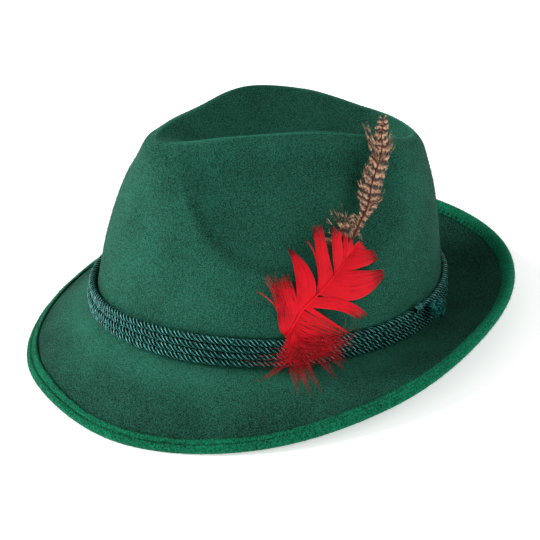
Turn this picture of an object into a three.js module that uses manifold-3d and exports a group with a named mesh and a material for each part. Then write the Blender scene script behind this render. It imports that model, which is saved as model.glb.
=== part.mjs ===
// Tyrolean hat: one felt body of crown and brim, a felt binding round the brim's edge,
// a band of four cords with its knot and cord end, and a sprig of two feathers and a tuft.
// Millimetres, +Z up, front of the hat towards -Y, the wearer's left towards +X.
// The hat is shaped with its head opening level, and then tipped back onto the surface it rests on.
import * as THREE from 'three';
import { mergeVertices } from 'three/addons/utils/BufferGeometryUtils.js';
import Module from 'manifold-3d';

const wasm = await Module();
wasm.setup();

// Head opening and crown
const HEAD_LENGTH = 200;
const HEAD_WIDTH = 170.8;
const CROWN_HEIGHT = 113;
const FELT = 2.2;
const BREAK_RADIUS = 3;
const FOLD_SOFTNESS = 2.2;
const CREASE_FRONT = 50;
const CREASE_BACK = 56;
const CREASE_CURVE = 1.5;

// Brim widths along the felt
const BRIM_FRONT = 53;
const BRIM_SIDE = 46;
const BRIM_BACK = 42.3;

// Binding of the brim's edge
const BINDING_WIDTH = 7;
const BINDING_FELT = 1.2;
const BINDING_RISE = 0.8;

// Band of cords
const CORD_DIAMETER = 3.9;
const CORD_ROWS = 4;
const CORD_SIDES = 6;
const BAND_FOOT = 3;

// Knot and cord end
const KNOT_DIAMETER = 8;
const KNOT_FLATNESS = 0.88;
const KNOT_ANGLE = 126;
const TAIL_LENGTH = 8;
const CORD_END_LENGTH = 7;
const CORD_END_ANGLE = 118;

// Feathers
const SPRIG_ANGLE = 69;
const SPRIG_HEIGHT = 20;
const RED_LENGTH = 64;
const SPECKLED_LENGTH = 78;
const TUFT_LENGTH = 14;
const QUILL = 1.8;
const BARB_THICKNESS = 1.1;
const FEATHERS_SPAN = 0.75;

// Clearance between pieces, and how far the resting felt is pressed flat
const GAP = 0.3;
const PRESSED = 0.35;

// Facets round the hat
const SECTORS = 54;

// Crown sections from the break to the rim: height and reaches are shares of the crown's height
// and of half the head's length, at0 to at180 shares of half its width, by degrees from the front.
const CROWN_LEVELS = [
  { height: 0.00, front: 1.000, back: 1.000, at0: 1.00, at30: 1.00, at60: 1.00, at90: 1.00, at120: 1.00, at150: 1.00, at180: 1.00 },
  { height: 0.22, front: 0.955, back: 0.991, at0: 0.98, at30: 1.01, at60: 1.03, at90: 1.05, at120: 1.02, at150: 0.98, at180: 0.98 },
  { height: 0.45, front: 0.908, back: 0.968, at0: 0.93, at30: 0.94, at60: 0.92, at90: 0.91, at120: 0.92, at150: 0.95, at180: 0.95 },
  { height: 0.66, front: 0.851, back: 0.938, at0: 0.82, at30: 0.80, at60: 0.74, at90: 0.73, at120: 0.79, at150: 0.89, at180: 0.92 },
  { height: 0.84, front: 0.794, back: 0.900, at0: 0.63, at30: 0.58, at60: 0.53, at90: 0.54, at120: 0.64, at150: 0.80, at180: 0.88 },
  { height: 0.94, front: 0.769, back: 0.868, at0: 0.43, at30: 0.44, at60: 0.39, at90: 0.44, at120: 0.55, at150: 0.71, at180: 0.84 },
  { height: 1.00, front: 0.722, back: 0.818, at0: 0.26, at30: 0.28, at60: 0.31, at90: 0.44, at120: 0.52, at150: 0.59, at180: 0.80 },
];

// Round the hat from front to back: rim and crease as shares of the crown's height,
// the brim's width as a share of its three named widths, and its slopes at root and edge in degrees.
const ROUND = [
  { angle: 0, rim: 0.944, crease: 0.90, brim: 0.950, root: -40.0, edge: -53.2 },
  { angle: 30, rim: 0.958, crease: 0.86, brim: 1.046, root: -34.0, edge: -53.6 },
  { angle: 60, rim: 0.986, crease: 0.80, brim: 1.038, root: -20.0, edge: -44.5 },
  { angle: 90, rim: 1.000, crease: 0.76, brim: 0.976, root: -6.2, edge: -12.3 },
  { angle: 120, rim: 0.930, crease: 0.73, brim: 0.946, root: 2.0, edge: 33.9 },
  { angle: 150, rim: 0.835, crease: 0.71, brim: 0.965, root: 4.3, edge: 54.6 },
  { angle: 180, rim: 0.814, crease: 0.70, brim: 1.000, root: 4.0, edge: 57.2 },
];

// The dent pressed into each side of the crown: its middle and reach in degrees, how far it spreads down
// from the rim, how round its corners are, and how wide its edge and the lip over it are, in shares.
const PINCH = { angle: 80, reach: 51, spread: 0.60, depth: 8.5, round: 2.3, edge: 0.36, lip: 0.16 };

// Quills as shares of the feather's length: round the crown, up it, and the lift off the felt in quills.
const RED_QUILL = [
  { round: 0.00, up: 0.00, lift: 0.4 },
  { round: 0.19, up: 0.27, lift: 2.2 },
  { round: 0.41, up: 0.43, lift: 2.8 },
  { round: 0.57, up: 0.53, lift: 2.8 },
  { round: 0.77, up: 0.62, lift: 2.8 },
];

// Locks of red barbs: root along the quill, tip and bow in shares of the feather's length,
// width as such a share, and the lift of the tip in quills.
const RED_LOCKS = [
  { at: 0.44, round: 0.38, up: 0.82, bow: 0.03, width: 0.105, lift: 3.5 },
  { at: 0.57, round: 0.56, up: 0.80, bow: 0.01, width: 0.085, lift: 3.7 },
  { at: 0.72, round: 0.65, up: 0.74, bow: 0.01, width: 0.110, lift: 3.6 },
  { at: 0.86, round: 0.76, up: 0.65, bow: -0.01, width: 0.090, lift: 3.4 },
  { at: 0.63, round: 0.87, up: 0.56, bow: -0.03, width: 0.100, lift: 4.0 },
  { at: 0.46, round: 0.86, up: 0.39, bow: -0.04, width: 0.190, lift: 4.3 },
  { at: 0.31, round: 0.62, up: 0.14, bow: 0.05, width: 0.070, lift: 4.5 },
  { at: 0.22, round: 0.09, up: 0.67, bow: 0.10, width: 0.120, lift: 3.6 },
  { at: 0.14, round: 0.06, up: 0.47, bow: 0.04, width: 0.080, lift: 3.0 },
  { at: 0.10, round: -0.08, up: 0.52, bow: 0.06, width: 0.150, lift: 3.0 },
];

// Downy locks at the foot of the red feather, hanging over the band and onto the brim:
// root along the quill, tip round and up in shares of the length, its reach out and width likewise.
const DOWN_LOCKS = [
  { at: 0.04, round: -0.25, up: -0.34, out: 0.23, width: 0.030 },
  { at: 0.08, round: 0.09, up: -0.38, out: 0.41, width: 0.050 },
  { at: 0.12, round: 0.21, up: -0.36, out: 0.40, width: 0.050 },
  { at: 0.16, round: 0.35, up: -0.32, out: 0.31, width: 0.050 },
  { at: 0.20, round: 0.46, up: -0.29, out: 0.22, width: 0.070 },
  { at: 0.24, round: 0.52, up: -0.26, out: 0.16, width: 0.050 },
  { at: 0.26, round: 0.44, up: -0.13, out: 0.14, width: 0.130 },
  { at: 0.30, round: 0.50, up: 0.01, out: 0.13, width: 0.110 },
];

// The speckled feather: stem points in shares of its length from its own foot, with lift in quills,
// and the half widths of its vane on the two sides as shares of the length.
const SPECKLED = [
  { round: -0.03, up: 0.02, lift: 1.2, front: 0.010, back: 0.014 },
  { round: 0.06, up: 0.10, lift: 2.0, front: 0.014, back: 0.026 },
  { round: 0.14, up: 0.16, lift: 2.4, front: 0.046, back: 0.050 },
  { round: 0.20, up: 0.22, lift: 2.6, front: 0.080, back: 0.080 },
  { round: 0.26, up: 0.30, lift: 2.9, front: 0.089, back: 0.091 },
  { round: 0.35, up: 0.38, lift: 3.2, front: 0.085, back: 0.088 },
  { round: 0.43, up: 0.46, lift: 3.4, front: 0.069, back: 0.072 },
  { round: 0.475, up: 0.55, lift: 3.6, front: 0.050, back: 0.050 },
  { round: 0.495, up: 0.65, lift: 3.6, front: 0.044, back: 0.042 },
  { round: 0.495, up: 0.725, lift: 3.6, front: 0.024, back: 0.020 },
];
const SPECKLED_FACES = 84;

// Where the speckled feather and its tuft are held at the red feather's tip, in shares of the red feather.
const SPECKLED_FOOT = { round: 0.764, up: 0.640 };
const TUFT_FOOT = { round: 0.690, up: 0.640 };

// Barbs of the speckled tuft: tips in degrees round from its root, and lengths as shares of the tuft's.
const TUFT_LIFT = 3.2;
const TUFT_BARBS = [
  { lean: -75, length: 1.35 },
  { lean: -52, length: 1.20 },
  { lean: -30, length: 1.00 },
  { lean: -8, length: 0.80 },
];

const FELT_GREEN = { color: 0x246b50, roughness: 0.95, metalness: 0 };
const BINDING_GREEN = { color: 0x1a7049, roughness: 0.95, metalness: 0 };
const CORD_TEAL = { color: 0x1e4744, roughness: 0.5, metalness: 0 };
const KNOT_TEAL = { color: 0x2b8a78, roughness: 0.5, metalness: 0 };
const FEATHER_RED = { color: 0xd42030, roughness: 0.7, metalness: 0 };
const FEATHER_SPECKLED = { color: 0x6d5240, roughness: 0.7, metalness: 0 };

const radians = THREE.MathUtils.degToRad;
const QUARTER = 90;
const HALF_TURN = 180;
const UP = new THREE.Vector3(0, 0, 1);

// Smooth curve through a table's rows: values by rising place, with straight ends.
function through(places, values, place) {
  const last = places.length - 1;
  let i = 0;
  while (i < last - 1 && place >= places[i + 1]) i += 1;
  const slope = (k) => {
    const low = Math.max(k - 1, 0);
    const high = Math.min(k + 1, last);
    return (values[high] - values[low]) / (places[high] - places[low]);
  };
  const span = places[i + 1] - places[i];
  const t = (place - places[i]) / span;
  const t2 = t * t;
  const t3 = t2 * t;
  return (2 * t3 - 3 * t2 + 1) * values[i] + (t3 - 2 * t2 + t) * span * slope(i)
    + (3 * t2 - 2 * t3) * values[i + 1] + (t3 - t2) * span * slope(i + 1);
}

const wrapped = (angle) => Math.abs(((angle + HALF_TURN) % (2 * HALF_TURN) + 2 * HALF_TURN) % (2 * HALF_TURN) - HALF_TURN);

// A value from the front to the back of the hat, alike on its two sides.
function roundTheHat(values, angle) {
  const step = ROUND[1].angle - ROUND[0].angle;
  const count = values.length;
  const even = [values[1], ...values, values[count - 2]];
  const places = even.map((_, k) => (k - 1) * step);
  return through(places, even, wrapped(angle));
}

const roundColumn = (name, angle) => roundTheHat(ROUND.map((row) => row[name]), angle);
const levels = CROWN_LEVELS.map((row) => row.height);
const levelColumn = (name, share) => through(levels, CROWN_LEVELS.map((row) => row[name]), share);

const rimHeight = (angle) => CROWN_HEIGHT * roundColumn('rim', angle);

// Unit vector straight out from the head opening.
function outward(angle) {
  const turn = radians(angle);
  return new THREE.Vector3(HEAD_LENGTH * Math.sin(turn), -HEAD_WIDTH * Math.cos(turn), 0).normalize();
}

// How deep the side dent is at a place on the crown's wall.
function pinch(angle, share) {
  const across = Math.abs(wrapped(angle) - PINCH.angle) / PINCH.reach;
  const along = Math.max(0, 1 - share) / PINCH.spread;
  const inside = Math.min(1, Math.max(0, (1 - across ** PINCH.round - along ** PINCH.round) / PINCH.edge));
  const lip = Math.min(1, Math.max(0, (1 - share) / PINCH.lip));
  return PINCH.depth * inside * inside * (3 - 2 * inside) * lip * lip * (3 - 2 * lip);
}

// A point of the crown's wall, at a share of the way from the break up to the rim.
function wall(angle, share) {
  const turn = radians(angle);
  const widths = ROUND.map((row) => levelColumn('at' + row.angle, share));
  const front = levelColumn('front', share);
  const back = levelColumn('back', share);
  const reach = (front + back) / 2 + ((front - back) / 2) * Math.cos(turn);
  return new THREE.Vector3(
    (HEAD_WIDTH / 2) * Math.sin(turn) * roundTheHat(widths, angle),
    (-HEAD_LENGTH / 2) * Math.cos(turn) * reach,
    BREAK_RADIUS + (rimHeight(angle) - BREAK_RADIUS) * share,
  ).addScaledVector(outward(angle), -pinch(angle, share));
}

// The bottom of the crown's lengthwise crease.
function crease(angle) {
  const lean = Math.cos(radians(angle));
  const reach = lean > 0 ? CREASE_FRONT : CREASE_BACK;
  return new THREE.Vector3(0, -lean * reach, CROWN_HEIGHT * roundColumn('crease', angle));
}

// The crown's profile by distance from the rim: below it down the wall, above it (negative) into the crease.
function crownProfile(angle, distance) {
  const rim = wall(angle, 1);
  if (distance >= 0) return wall(angle, 1 - distance / (rimHeight(angle) - BREAK_RADIUS));
  const bottom = crease(angle);
  const span = Math.hypot(rim.x - bottom.x, rim.y - bottom.y);
  const share = 1 + distance / span;
  const inside = Math.abs(share);
  const point = new THREE.Vector3(
    bottom.x + (rim.x - bottom.x) * inside,
    bottom.y + (rim.y - bottom.y) * inside,
    bottom.z + (rim.z - bottom.z) * inside ** CREASE_CURVE,
  );
  if (share < 0) point.x = -point.x;
  return point;
}

// The same with the folds softened, by averaging over the softness to each side.
function crown(angle, distance) {
  const point = new THREE.Vector3();
  const reaches = [-1, -0.5, 0, 0.5, 1];
  for (const reach of reaches) point.add(crownProfile(angle, distance + (reach * FOLD_SOFTNESS) / 2));
  return point.divideScalar(reaches.length);
}

const brimWidth = (angle) => {
  const named = roundTheHat([BRIM_FRONT, (BRIM_FRONT * 2 + BRIM_SIDE) / 3, (BRIM_FRONT + BRIM_SIDE * 2) / 3, BRIM_SIDE,
    (BRIM_SIDE * 2 + BRIM_BACK) / 3, (BRIM_SIDE + BRIM_BACK * 2) / 3, BRIM_BACK], angle);
  return named * roundColumn('brim', angle);
};

// A point of the brim's upper face, at a distance along the felt from the end of the break's round.
function brim(angle, distance) {
  const turn = radians(angle);
  const root = radians(roundColumn('root', angle));
  const edge = radians(roundColumn('edge', angle));
  const bend = (edge - root) / brimWidth(angle);
  const quarter = radians(QUARTER) + root;
  let out = BREAK_RADIUS * (1 - Math.cos(quarter));
  let rise = BREAK_RADIUS * (1 - Math.sin(quarter));
  if (distance < 0) {
    const part = quarter + distance / BREAK_RADIUS;
    out = BREAK_RADIUS * (1 - Math.cos(part));
    rise = BREAK_RADIUS * (1 - Math.sin(part));
  } else {
    const slope = root + bend * distance;
    out += (Math.sin(slope) - Math.sin(root)) / bend;
    rise += (Math.cos(root) - Math.cos(slope)) / bend;
  }
  return new THREE.Vector3((HEAD_WIDTH / 2) * Math.sin(turn), (-HEAD_LENGTH / 2) * Math.cos(turn), rise)
    .addScaledVector(outward(angle), out);
}

// A point beside the crown: its height over the break and its distance out from the wall at that height,
// with the share of the dent that it spans.
function beside(angle, height, out, spans = 0) {
  const top = rimHeight(angle) - BREAK_RADIUS;
  const share = Math.min(1, Math.max(0, (height - BREAK_RADIUS) / top));
  const clear = out + spans * pinch(angle, share);
  const point = wall(angle, share).addScaledVector(outward(angle), clear);
  point.z = height;
  return point;
}

// A point beside the crown by distances round it and up it from a foot.
function fromFoot(foot, round, up, out) {
  const angle = foot.angle + THREE.MathUtils.radToDeg(round / (HEAD_LENGTH / 2));
  return beside(angle, foot.height + up, out, FEATHERS_SPAN);
}

const angles = Array.from({ length: SECTORS }, (_, k) => (k * 2 * HALF_TURN) / SECTORS);

// Triangles over a grid of points, closed along its rings and, where asked, from its last ring to its first.
function gridTriangles(rings, columns, closed) {
  const triangles = [];
  for (let i = 0; i < (closed ? rings : rings - 1); i += 1) {
    for (let j = 0; j < columns; j += 1) {
      const a = i * columns + j;
      const b = ((i + 1) % rings) * columns + j;
      const c = ((i + 1) % rings) * columns + ((j + 1) % columns);
      const d = i * columns + ((j + 1) % columns);
      triangles.push(a, b, c, a, c, d);
    }
  }
  return triangles;
}

// A merged geometry from points and triangles, without the triangles that the merge closes up.
function solid(points, triangles) {
  const raw = new THREE.BufferGeometry();
  raw.setAttribute('position', new THREE.Float32BufferAttribute(points.flatMap((p) => [p.x, p.y, p.z]), 3));
  raw.setIndex(triangles);
  const merged = mergeVertices(raw, 1e-3);
  const kept = [];
  const index = merged.index.array;
  for (let k = 0; k < index.length; k += 3) {
    const [a, b, c] = [index[k], index[k + 1], index[k + 2]];
    if (a !== b && b !== c && c !== a) kept.push(a, b, c);
  }
  merged.setIndex(kept);
  return merged;
}

function volume(geometry) {
  const [a, b, c] = [new THREE.Vector3(), new THREE.Vector3(), new THREE.Vector3()];
  const at = geometry.attributes.position;
  const index = geometry.index.array;
  let sum = 0;
  for (let k = 0; k < index.length; k += 3) {
    a.fromBufferAttribute(at, index[k]);
    b.fromBufferAttribute(at, index[k + 1]);
    c.fromBufferAttribute(at, index[k + 2]);
    sum += a.dot(b.clone().cross(c)) / 6;
  }
  return sum;
}

// The same geometry with its faces pointing out.
function facingOut(geometry) {
  if (volume(geometry) > 0) return geometry;
  const index = geometry.index.array;
  for (let k = 0; k < index.length; k += 3) [index[k + 1], index[k + 2]] = [index[k + 2], index[k + 1]];
  return geometry;
}

// Several closed shapes joined into one.
function fused(shapes) {
  const parts = shapes.map((shape) => new wasm.Manifold(new wasm.Mesh({
    numProp: 3,
    vertProperties: new Float32Array(shape.attributes.position.array),
    triVerts: new Uint32Array(shape.index.array),
  })));
  const joined = parts.reduce((sum, part) => sum.add(part));
  const mesh = joined.getMesh();
  const geometry = new THREE.BufferGeometry();
  geometry.setAttribute('position', new THREE.BufferAttribute(mesh.vertProperties.slice(), 3));
  geometry.setIndex(Array.from(mesh.triVerts));
  return geometry;
}

// A closed strand along a path: each station has its point, the way its flat face looks, and its two widths.
function strand(stations, sides) {
  const points = [];
  stations.forEach((station, k) => {
    const before = stations[Math.max(k - 1, 0)].point;
    const after = stations[Math.min(k + 1, stations.length - 1)].point;
    const along = after.clone().sub(before).normalize();
    const across = along.clone().cross(station.face).normalize();
    const face = across.clone().cross(along);
    for (let side = 0; side < sides; side += 1) {
      const turn = (side * 2 * Math.PI) / sides;
      points.push(station.point.clone()
        .addScaledVector(across, (station.width / 2) * Math.cos(turn))
        .addScaledVector(face, (station.thick / 2) * Math.sin(turn)));
    }
  });
  const triangles = gridTriangles(stations.length, sides, false);
  const first = points.push(stations[0].point.clone()) - 1;
  const last = points.push(stations[stations.length - 1].point.clone()) - 1;
  const end = (stations.length - 1) * sides;
  for (let side = 0; side < sides; side += 1) {
    const next = (side + 1) % sides;
    triangles.push(first, side, next);
    triangles.push(last, end + next, end + side);
  }
  return facingOut(solid(points, triangles));
}

// Felt body: the crown and brim as one wall, open below
const TOP_RINGS = [0, 0.3, 0.6, 0.85];
const WALL_DISTANCES = [0, 0.035, 0.08, 0.15, 0.24, 0.34, 0.44, 0.54, 0.64, 0.74, 0.87];
const BRIM_SHARES = [0, 0.25, 0.5, 0.75];
const edgeSpace = BINDING_FELT + GAP;
const bindingMiddle = (BINDING_WIDTH + edgeSpace) / 2;

function bodyRings() {
  const rings = TOP_RINGS.map((share) => angles.map((angle) => {
    const rim = wall(angle, 1);
    const bottom = crease(angle);
    return crown(angle, -Math.hypot(rim.x - bottom.x, rim.y - bottom.y) * (1 - share));
  }));
  for (const share of WALL_DISTANCES) {
    rings.push(angles.map((angle) => crown(angle, (rimHeight(angle) - BREAK_RADIUS) * share)));
  }
  rings.push(angles.map((angle) => brim(angle, -BREAK_RADIUS * (radians(QUARTER) + radians(roundColumn('root', angle))))));
  rings.push(angles.map((angle) => brim(angle, (-BREAK_RADIUS * (radians(QUARTER) + radians(roundColumn('root', angle)))) / 2)));
  for (const share of BRIM_SHARES) {
    rings.push(angles.map((angle) => brim(angle, (brimWidth(angle) - BINDING_WIDTH) * share)));
  }
  for (const inset of [BINDING_WIDTH, bindingMiddle, edgeSpace]) {
    rings.push(angles.map((angle) => brim(angle, brimWidth(angle) - inset)));
  }
  return rings;
}

// The way each point of the rings looks, out of the hat.
function ringNormals(rings) {
  return rings.map((ring, i) => ring.map((point, j) => {
    if (i === 0) return UP.clone();
    const next = ring[(j + 1) % SECTORS];
    const previous = ring[(j + SECTORS - 1) % SECTORS];
    const lower = rings[Math.min(i + 1, rings.length - 1)][j];
    const upper = rings[i - 1][j];
    return lower.clone().sub(upper).cross(next.clone().sub(previous)).normalize();
  }));
}

function hatBody() {
  const outer = bodyRings();
  const normals = ringNormals(outer);
  const inner = outer.map((ring, i) => ring.map((point, j) => point.clone().addScaledVector(normals[i][j], -FELT)));
  const rings = [...outer, ...inner.reverse()];
  return facingOut(solid(rings.flat(), gridTriangles(rings.length, SECTORS, false)));
}

// Turns of the binding's rounded edge, from its upper face to its lower one, with a facet where it rests.
const EDGE_TURNS = [0, 55, 105, 150, 180];

// Binding: a strip folded over the edge, clear of the felt that it holds
function brimBinding() {
  const outer = FELT / 2 + GAP + BINDING_FELT;
  const inner = FELT / 2 + GAP;
  const arc = EDGE_TURNS.map(radians).map((turn) => [outer - outer * Math.sin(turn), outer * Math.cos(turn)]);
  const section = [[BINDING_WIDTH, inner], [BINDING_WIDTH, inner + BINDING_RISE], ...arc,
    [BINDING_WIDTH, -inner - BINDING_RISE], [BINDING_WIDTH, -inner], [bindingMiddle, -inner],
    [BINDING_FELT, -inner], [BINDING_FELT, inner], [bindingMiddle, inner]];
  const columns = angles.map((angle) => {
    const width = brimWidth(angle);
    return section.map(([inset, off]) => {
      const place = brim(angle, width - inset);
      const along = brim(angle, width - inset + 1).sub(brim(angle, width - inset - 1)).normalize();
      const round = new THREE.Vector3(-outward(angle).y, outward(angle).x, 0);
      const face = along.clone().cross(round).normalize();
      return place.addScaledVector(face, off - FELT / 2);
    });
  });
  return facingOut(solid(columns.flat(), gridTriangles(SECTORS, section.length, true)));
}

const cordHeight = (row) => BAND_FOOT + row * (CORD_DIAMETER + GAP);

// One cord of the band, a closed ring against the foot of the crown.
function bandCord(row) {
  const columns = angles.map((angle) => {
    const centre = beside(angle, cordHeight(row), CORD_DIAMETER / 2 + GAP);
    return Array.from({ length: CORD_SIDES }, (_, side) => {
      const turn = ((side + 0.5) * 2 * Math.PI) / CORD_SIDES;
      return centre.clone()
        .addScaledVector(outward(angle), (CORD_DIAMETER / 2) * Math.cos(turn))
        .addScaledVector(UP, (CORD_DIAMETER / 2) * Math.sin(turn));
    });
  });
  return facingOut(solid(columns.flat(), gridTriangles(SECTORS, CORD_SIDES, true)));
}

const bandOut = CORD_DIAMETER + 2 * GAP;
const bandTop = cordHeight(CORD_ROWS - 1) + CORD_DIAMETER / 2;

// The knot tied in front of the band, with the loose tail that hangs from it.
function bandKnot() {
  const out = bandOut + (KNOT_DIAMETER / 2) * KNOT_FLATNESS;
  const centre = beside(KNOT_ANGLE, (cordHeight(1) + cordHeight(2)) / 2, out);
  const knot = strand([-0.5, -0.3, 0, 0.3, 0.5].map((share) => ({
    point: centre.clone().addScaledVector(UP, share * KNOT_DIAMETER * 0.95),
    face: outward(KNOT_ANGLE),
    width: KNOT_DIAMETER * Math.sqrt(1.04 - 4 * share * share),
    thick: KNOT_DIAMETER * KNOT_FLATNESS * Math.sqrt(1.04 - 4 * share * share),
  })), 8);
  const tail = strand([0, 0.35, 0.7, 1].map((share) => ({
    point: centre.clone()
      .addScaledVector(outward(KNOT_ANGLE - QUARTER), -TAIL_LENGTH * share * 0.7)
      .addScaledVector(outward(KNOT_ANGLE), KNOT_DIAMETER * 0.1)
      .addScaledVector(UP, TAIL_LENGTH * 0.9 * share * (0.6 - share)),
    face: outward(KNOT_ANGLE),
    width: CORD_DIAMETER * 0.8,
    thick: CORD_DIAMETER * 0.8,
  })), 6);
  return fused([knot, tail]);
}

// The bound end of the cord, lying on the band's top row.
function cordEnd() {
  const half = CORD_DIAMETER / 2;
  const step = THREE.MathUtils.radToDeg(CORD_END_LENGTH / 2 / (HEAD_LENGTH / 2));
  return strand([-1, -0.5, 0.5, 1].map((side) => ({
    point: beside(CORD_END_ANGLE + side * step, bandTop + GAP + half, half + 2 * GAP),
    face: outward(CORD_END_ANGLE),
    width: CORD_DIAMETER * (Math.abs(side) === 1 ? 0.7 : 1),
    thick: CORD_DIAMETER * (Math.abs(side) === 1 ? 0.7 : 1),
  })), 8);
}

const sprigFoot = { angle: SPRIG_ANGLE, height: SPRIG_HEIGHT };
const heldAt = (place) => ({
  angle: SPRIG_ANGLE + THREE.MathUtils.radToDeg((place.round * RED_LENGTH) / (HEAD_LENGTH / 2)),
  height: SPRIG_HEIGHT + place.up * RED_LENGTH,
});
const speckledFoot = heldAt(SPECKLED_FOOT);
const tuftFoot = heldAt(TUFT_FOOT);

// A place along a table's quill, at a share of its rows.
function alongQuill(rows, length, foot, share) {
  const places = rows.map((_, k) => k / (rows.length - 1));
  const value = (name) => through(places, rows.map((row) => row[name]), share);
  return {
    round: value('round') * length,
    up: value('up') * length,
    out: value('lift') * QUILL,
    point: fromFoot(foot, value('round') * length, value('up') * length, value('lift') * QUILL),
  };
}

const faceOf = (foot, round) => outward(foot.angle + THREE.MathUtils.radToDeg(round / (HEAD_LENGTH / 2)));
const STATIONS = [0, 0.2, 0.4, 0.6, 0.8, 1];
const LOCK_SHAPE = [0.35, 0.75, 1, 0.95, 0.75, 0.15];
const QUILL_STATIONS = [0, 0.1, 0.2, 0.3, 0.4, 0.55, 0.7, 0.85, 1];
const LOCK_SIDES = 4;

// A flat lock of barbs from the quill to its tip, bowed to one side.
function redLock(row) {
  const root = alongQuill(RED_QUILL, RED_LENGTH, sprigFoot, row.at);
  const tip = { round: row.round * RED_LENGTH, up: row.up * RED_LENGTH, out: row.lift * QUILL };
  const reach = Math.hypot(tip.round - root.round, tip.up - root.up);
  return strand(STATIONS.map((share, k) => {
    const bow = row.bow * RED_LENGTH * 4 * share * (1 - share);
    const round = root.round + (tip.round - root.round) * share + (bow * (tip.up - root.up)) / reach;
    const up = root.up + (tip.up - root.up) * share - (bow * (tip.round - root.round)) / reach;
    return {
      point: fromFoot(sprigFoot, round, up, root.out + (tip.out - root.out) * share),
      face: faceOf(sprigFoot, round),
      width: row.width * RED_LENGTH * LOCK_SHAPE[k],
      thick: BARB_THICKNESS,
    };
  }), LOCK_SIDES);
}

// A downy lock from the quill's foot, out over the band and down onto the brim.
function downLock(row) {
  const root = alongQuill(RED_QUILL, RED_LENGTH, sprigFoot, row.at);
  const clear = bandOut + BARB_THICKNESS;
  return strand(STATIONS.map((share, k) => {
    const round = root.round + (row.round * RED_LENGTH - root.round) * share;
    const up = root.up + (row.up * RED_LENGTH - root.up) * share ** 1.6;
    const reach = clear + (row.out * RED_LENGTH - clear) * Math.max(0, (share - 0.4) / 0.6);
    const out = share < 0.4 ? root.out + (clear - root.out) * Math.sqrt(share / 0.4) : reach;
    return {
      point: fromFoot(sprigFoot, round, up, out),
      face: faceOf(sprigFoot, round).addScaledVector(UP, 0.6 * share),
      width: row.width * RED_LENGTH * LOCK_SHAPE[k],
      thick: BARB_THICKNESS,
    };
  }), LOCK_SIDES);
}

function redFeather() {
  const quill = strand(QUILL_STATIONS.map((share) => {
    const place = alongQuill(RED_QUILL, RED_LENGTH, sprigFoot, share);
    return {
      point: place.point,
      face: faceOf(sprigFoot, place.round),
      width: QUILL * (1 - 0.4 * share),
      thick: QUILL * (1 - 0.4 * share),
    };
  }), 6);
  return fused([quill, ...RED_LOCKS.map(redLock), ...DOWN_LOCKS.map(downLock)]);
}

// The speckled feather's vane and stem as one thin blade along its stem, turned to one side of the hat.
function speckledFeather() {
  const places = SPECKLED.map((_, k) => k / (SPECKLED.length - 1));
  const steps = Array.from({ length: 15 }, (_, k) => k / 14);
  const face = outward(SPECKLED_FACES);
  const stem = (share) => alongQuill(SPECKLED, SPECKLED_LENGTH, speckledFoot, share).point;
  return strand(steps.map((share) => {
    const front = through(places, SPECKLED.map((row) => row.front), share) * SPECKLED_LENGTH;
    const back = through(places, SPECKLED.map((row) => row.back), share) * SPECKLED_LENGTH;
    const across = stem(share + 0.01).sub(stem(share - 0.01)).cross(face).normalize();
    return {
      point: stem(share).addScaledVector(across, (back - front) / 2),
      face,
      width: front + back,
      thick: BARB_THICKNESS,
    };
  }), 6);
}

// The open tuft of speckled barbs that fans out beside the feather's foot.
function speckledTuft() {
  return fused(TUFT_BARBS.map((row) => strand([0, 0.35, 0.7, 1].map((share, k) => {
    const lean = radians(row.lean);
    const reach = row.length * TUFT_LENGTH * share;
    const round = Math.sin(lean) * reach;
    return {
      point: fromFoot(tuftFoot, round, Math.cos(lean) * reach, TUFT_LIFT * BARB_THICKNESS),
      face: faceOf(tuftFoot, round),
      width: TUFT_LENGTH * [0.22, 0.26, 0.22, 0.08][k],
      thick: BARB_THICKNESS,
    };
  }), 6)));
}

const pieces = [
  ['hat_body', hatBody(), FELT_GREEN],
  ['brim_binding', brimBinding(), BINDING_GREEN],
  ...Array.from({ length: CORD_ROWS }, (_, row) => [`band_cord_${row + 1}`, bandCord(row), CORD_TEAL]),
  ['band_knot', bandKnot(), KNOT_TEAL],
  ['cord_end', cordEnd(), CORD_TEAL],
  ['red_feather', redFeather(), FEATHER_RED],
  ['speckled_feather', speckledFeather(), FEATHER_SPECKLED],
  ['speckled_tuft', speckledTuft(), FEATHER_SPECKLED],
];

// The lowest point in front of the hat's middle or behind it, once it is tipped by an angle.
function lowest(points, tilt, behind) {
  return points.reduce((low, p) => (
    (p.y > 0) === behind ? Math.min(low, p.z * Math.cos(tilt) + p.y * Math.sin(tilt)) : low), Infinity);
}

function pointsOf(geometry) {
  const at = geometry.attributes.position;
  return Array.from({ length: at.count }, (_, k) => new THREE.Vector3().fromBufferAttribute(at, k));
}

// The angle at which the front of the brim and the back of the head opening touch one level surface.
function restTilt(points) {
  let [low, high] = [-Math.PI / 6, Math.PI / 6];
  for (let k = 0; k < 40; k += 1) {
    const middle = (low + high) / 2;
    if (lowest(points, middle, true) > lowest(points, middle, false)) high = middle;
    else low = middle;
  }
  return (low + high) / 2;
}

const feltPoints = [...pointsOf(pieces[0][1]), ...pointsOf(pieces[1][1])];
const tilt = restTilt(feltPoints);
const tipped = feltPoints.map((p) => p.clone().applyAxisAngle(new THREE.Vector3(1, 0, 0), tilt));
const box = new THREE.Box3().setFromPoints(tipped);
const centre = box.getCenter(new THREE.Vector3());

const hat = new THREE.Group();
hat.name = 'tyrolean_hat';
for (const [name, geometry, finish] of pieces) {
  geometry.rotateX(tilt);
  geometry.translate(-centre.x, -centre.y, -box.min.z - PRESSED);
  const at = geometry.attributes.position;
  for (let k = 0; k < at.count; k += 1) at.setZ(k, Math.max(0, at.getZ(k)));
  const mesh = new THREE.Mesh(geometry, new THREE.MeshStandardMaterial({ ...finish, name }));
  mesh.name = name;
  hat.add(mesh);
}

export default hat;
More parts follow.
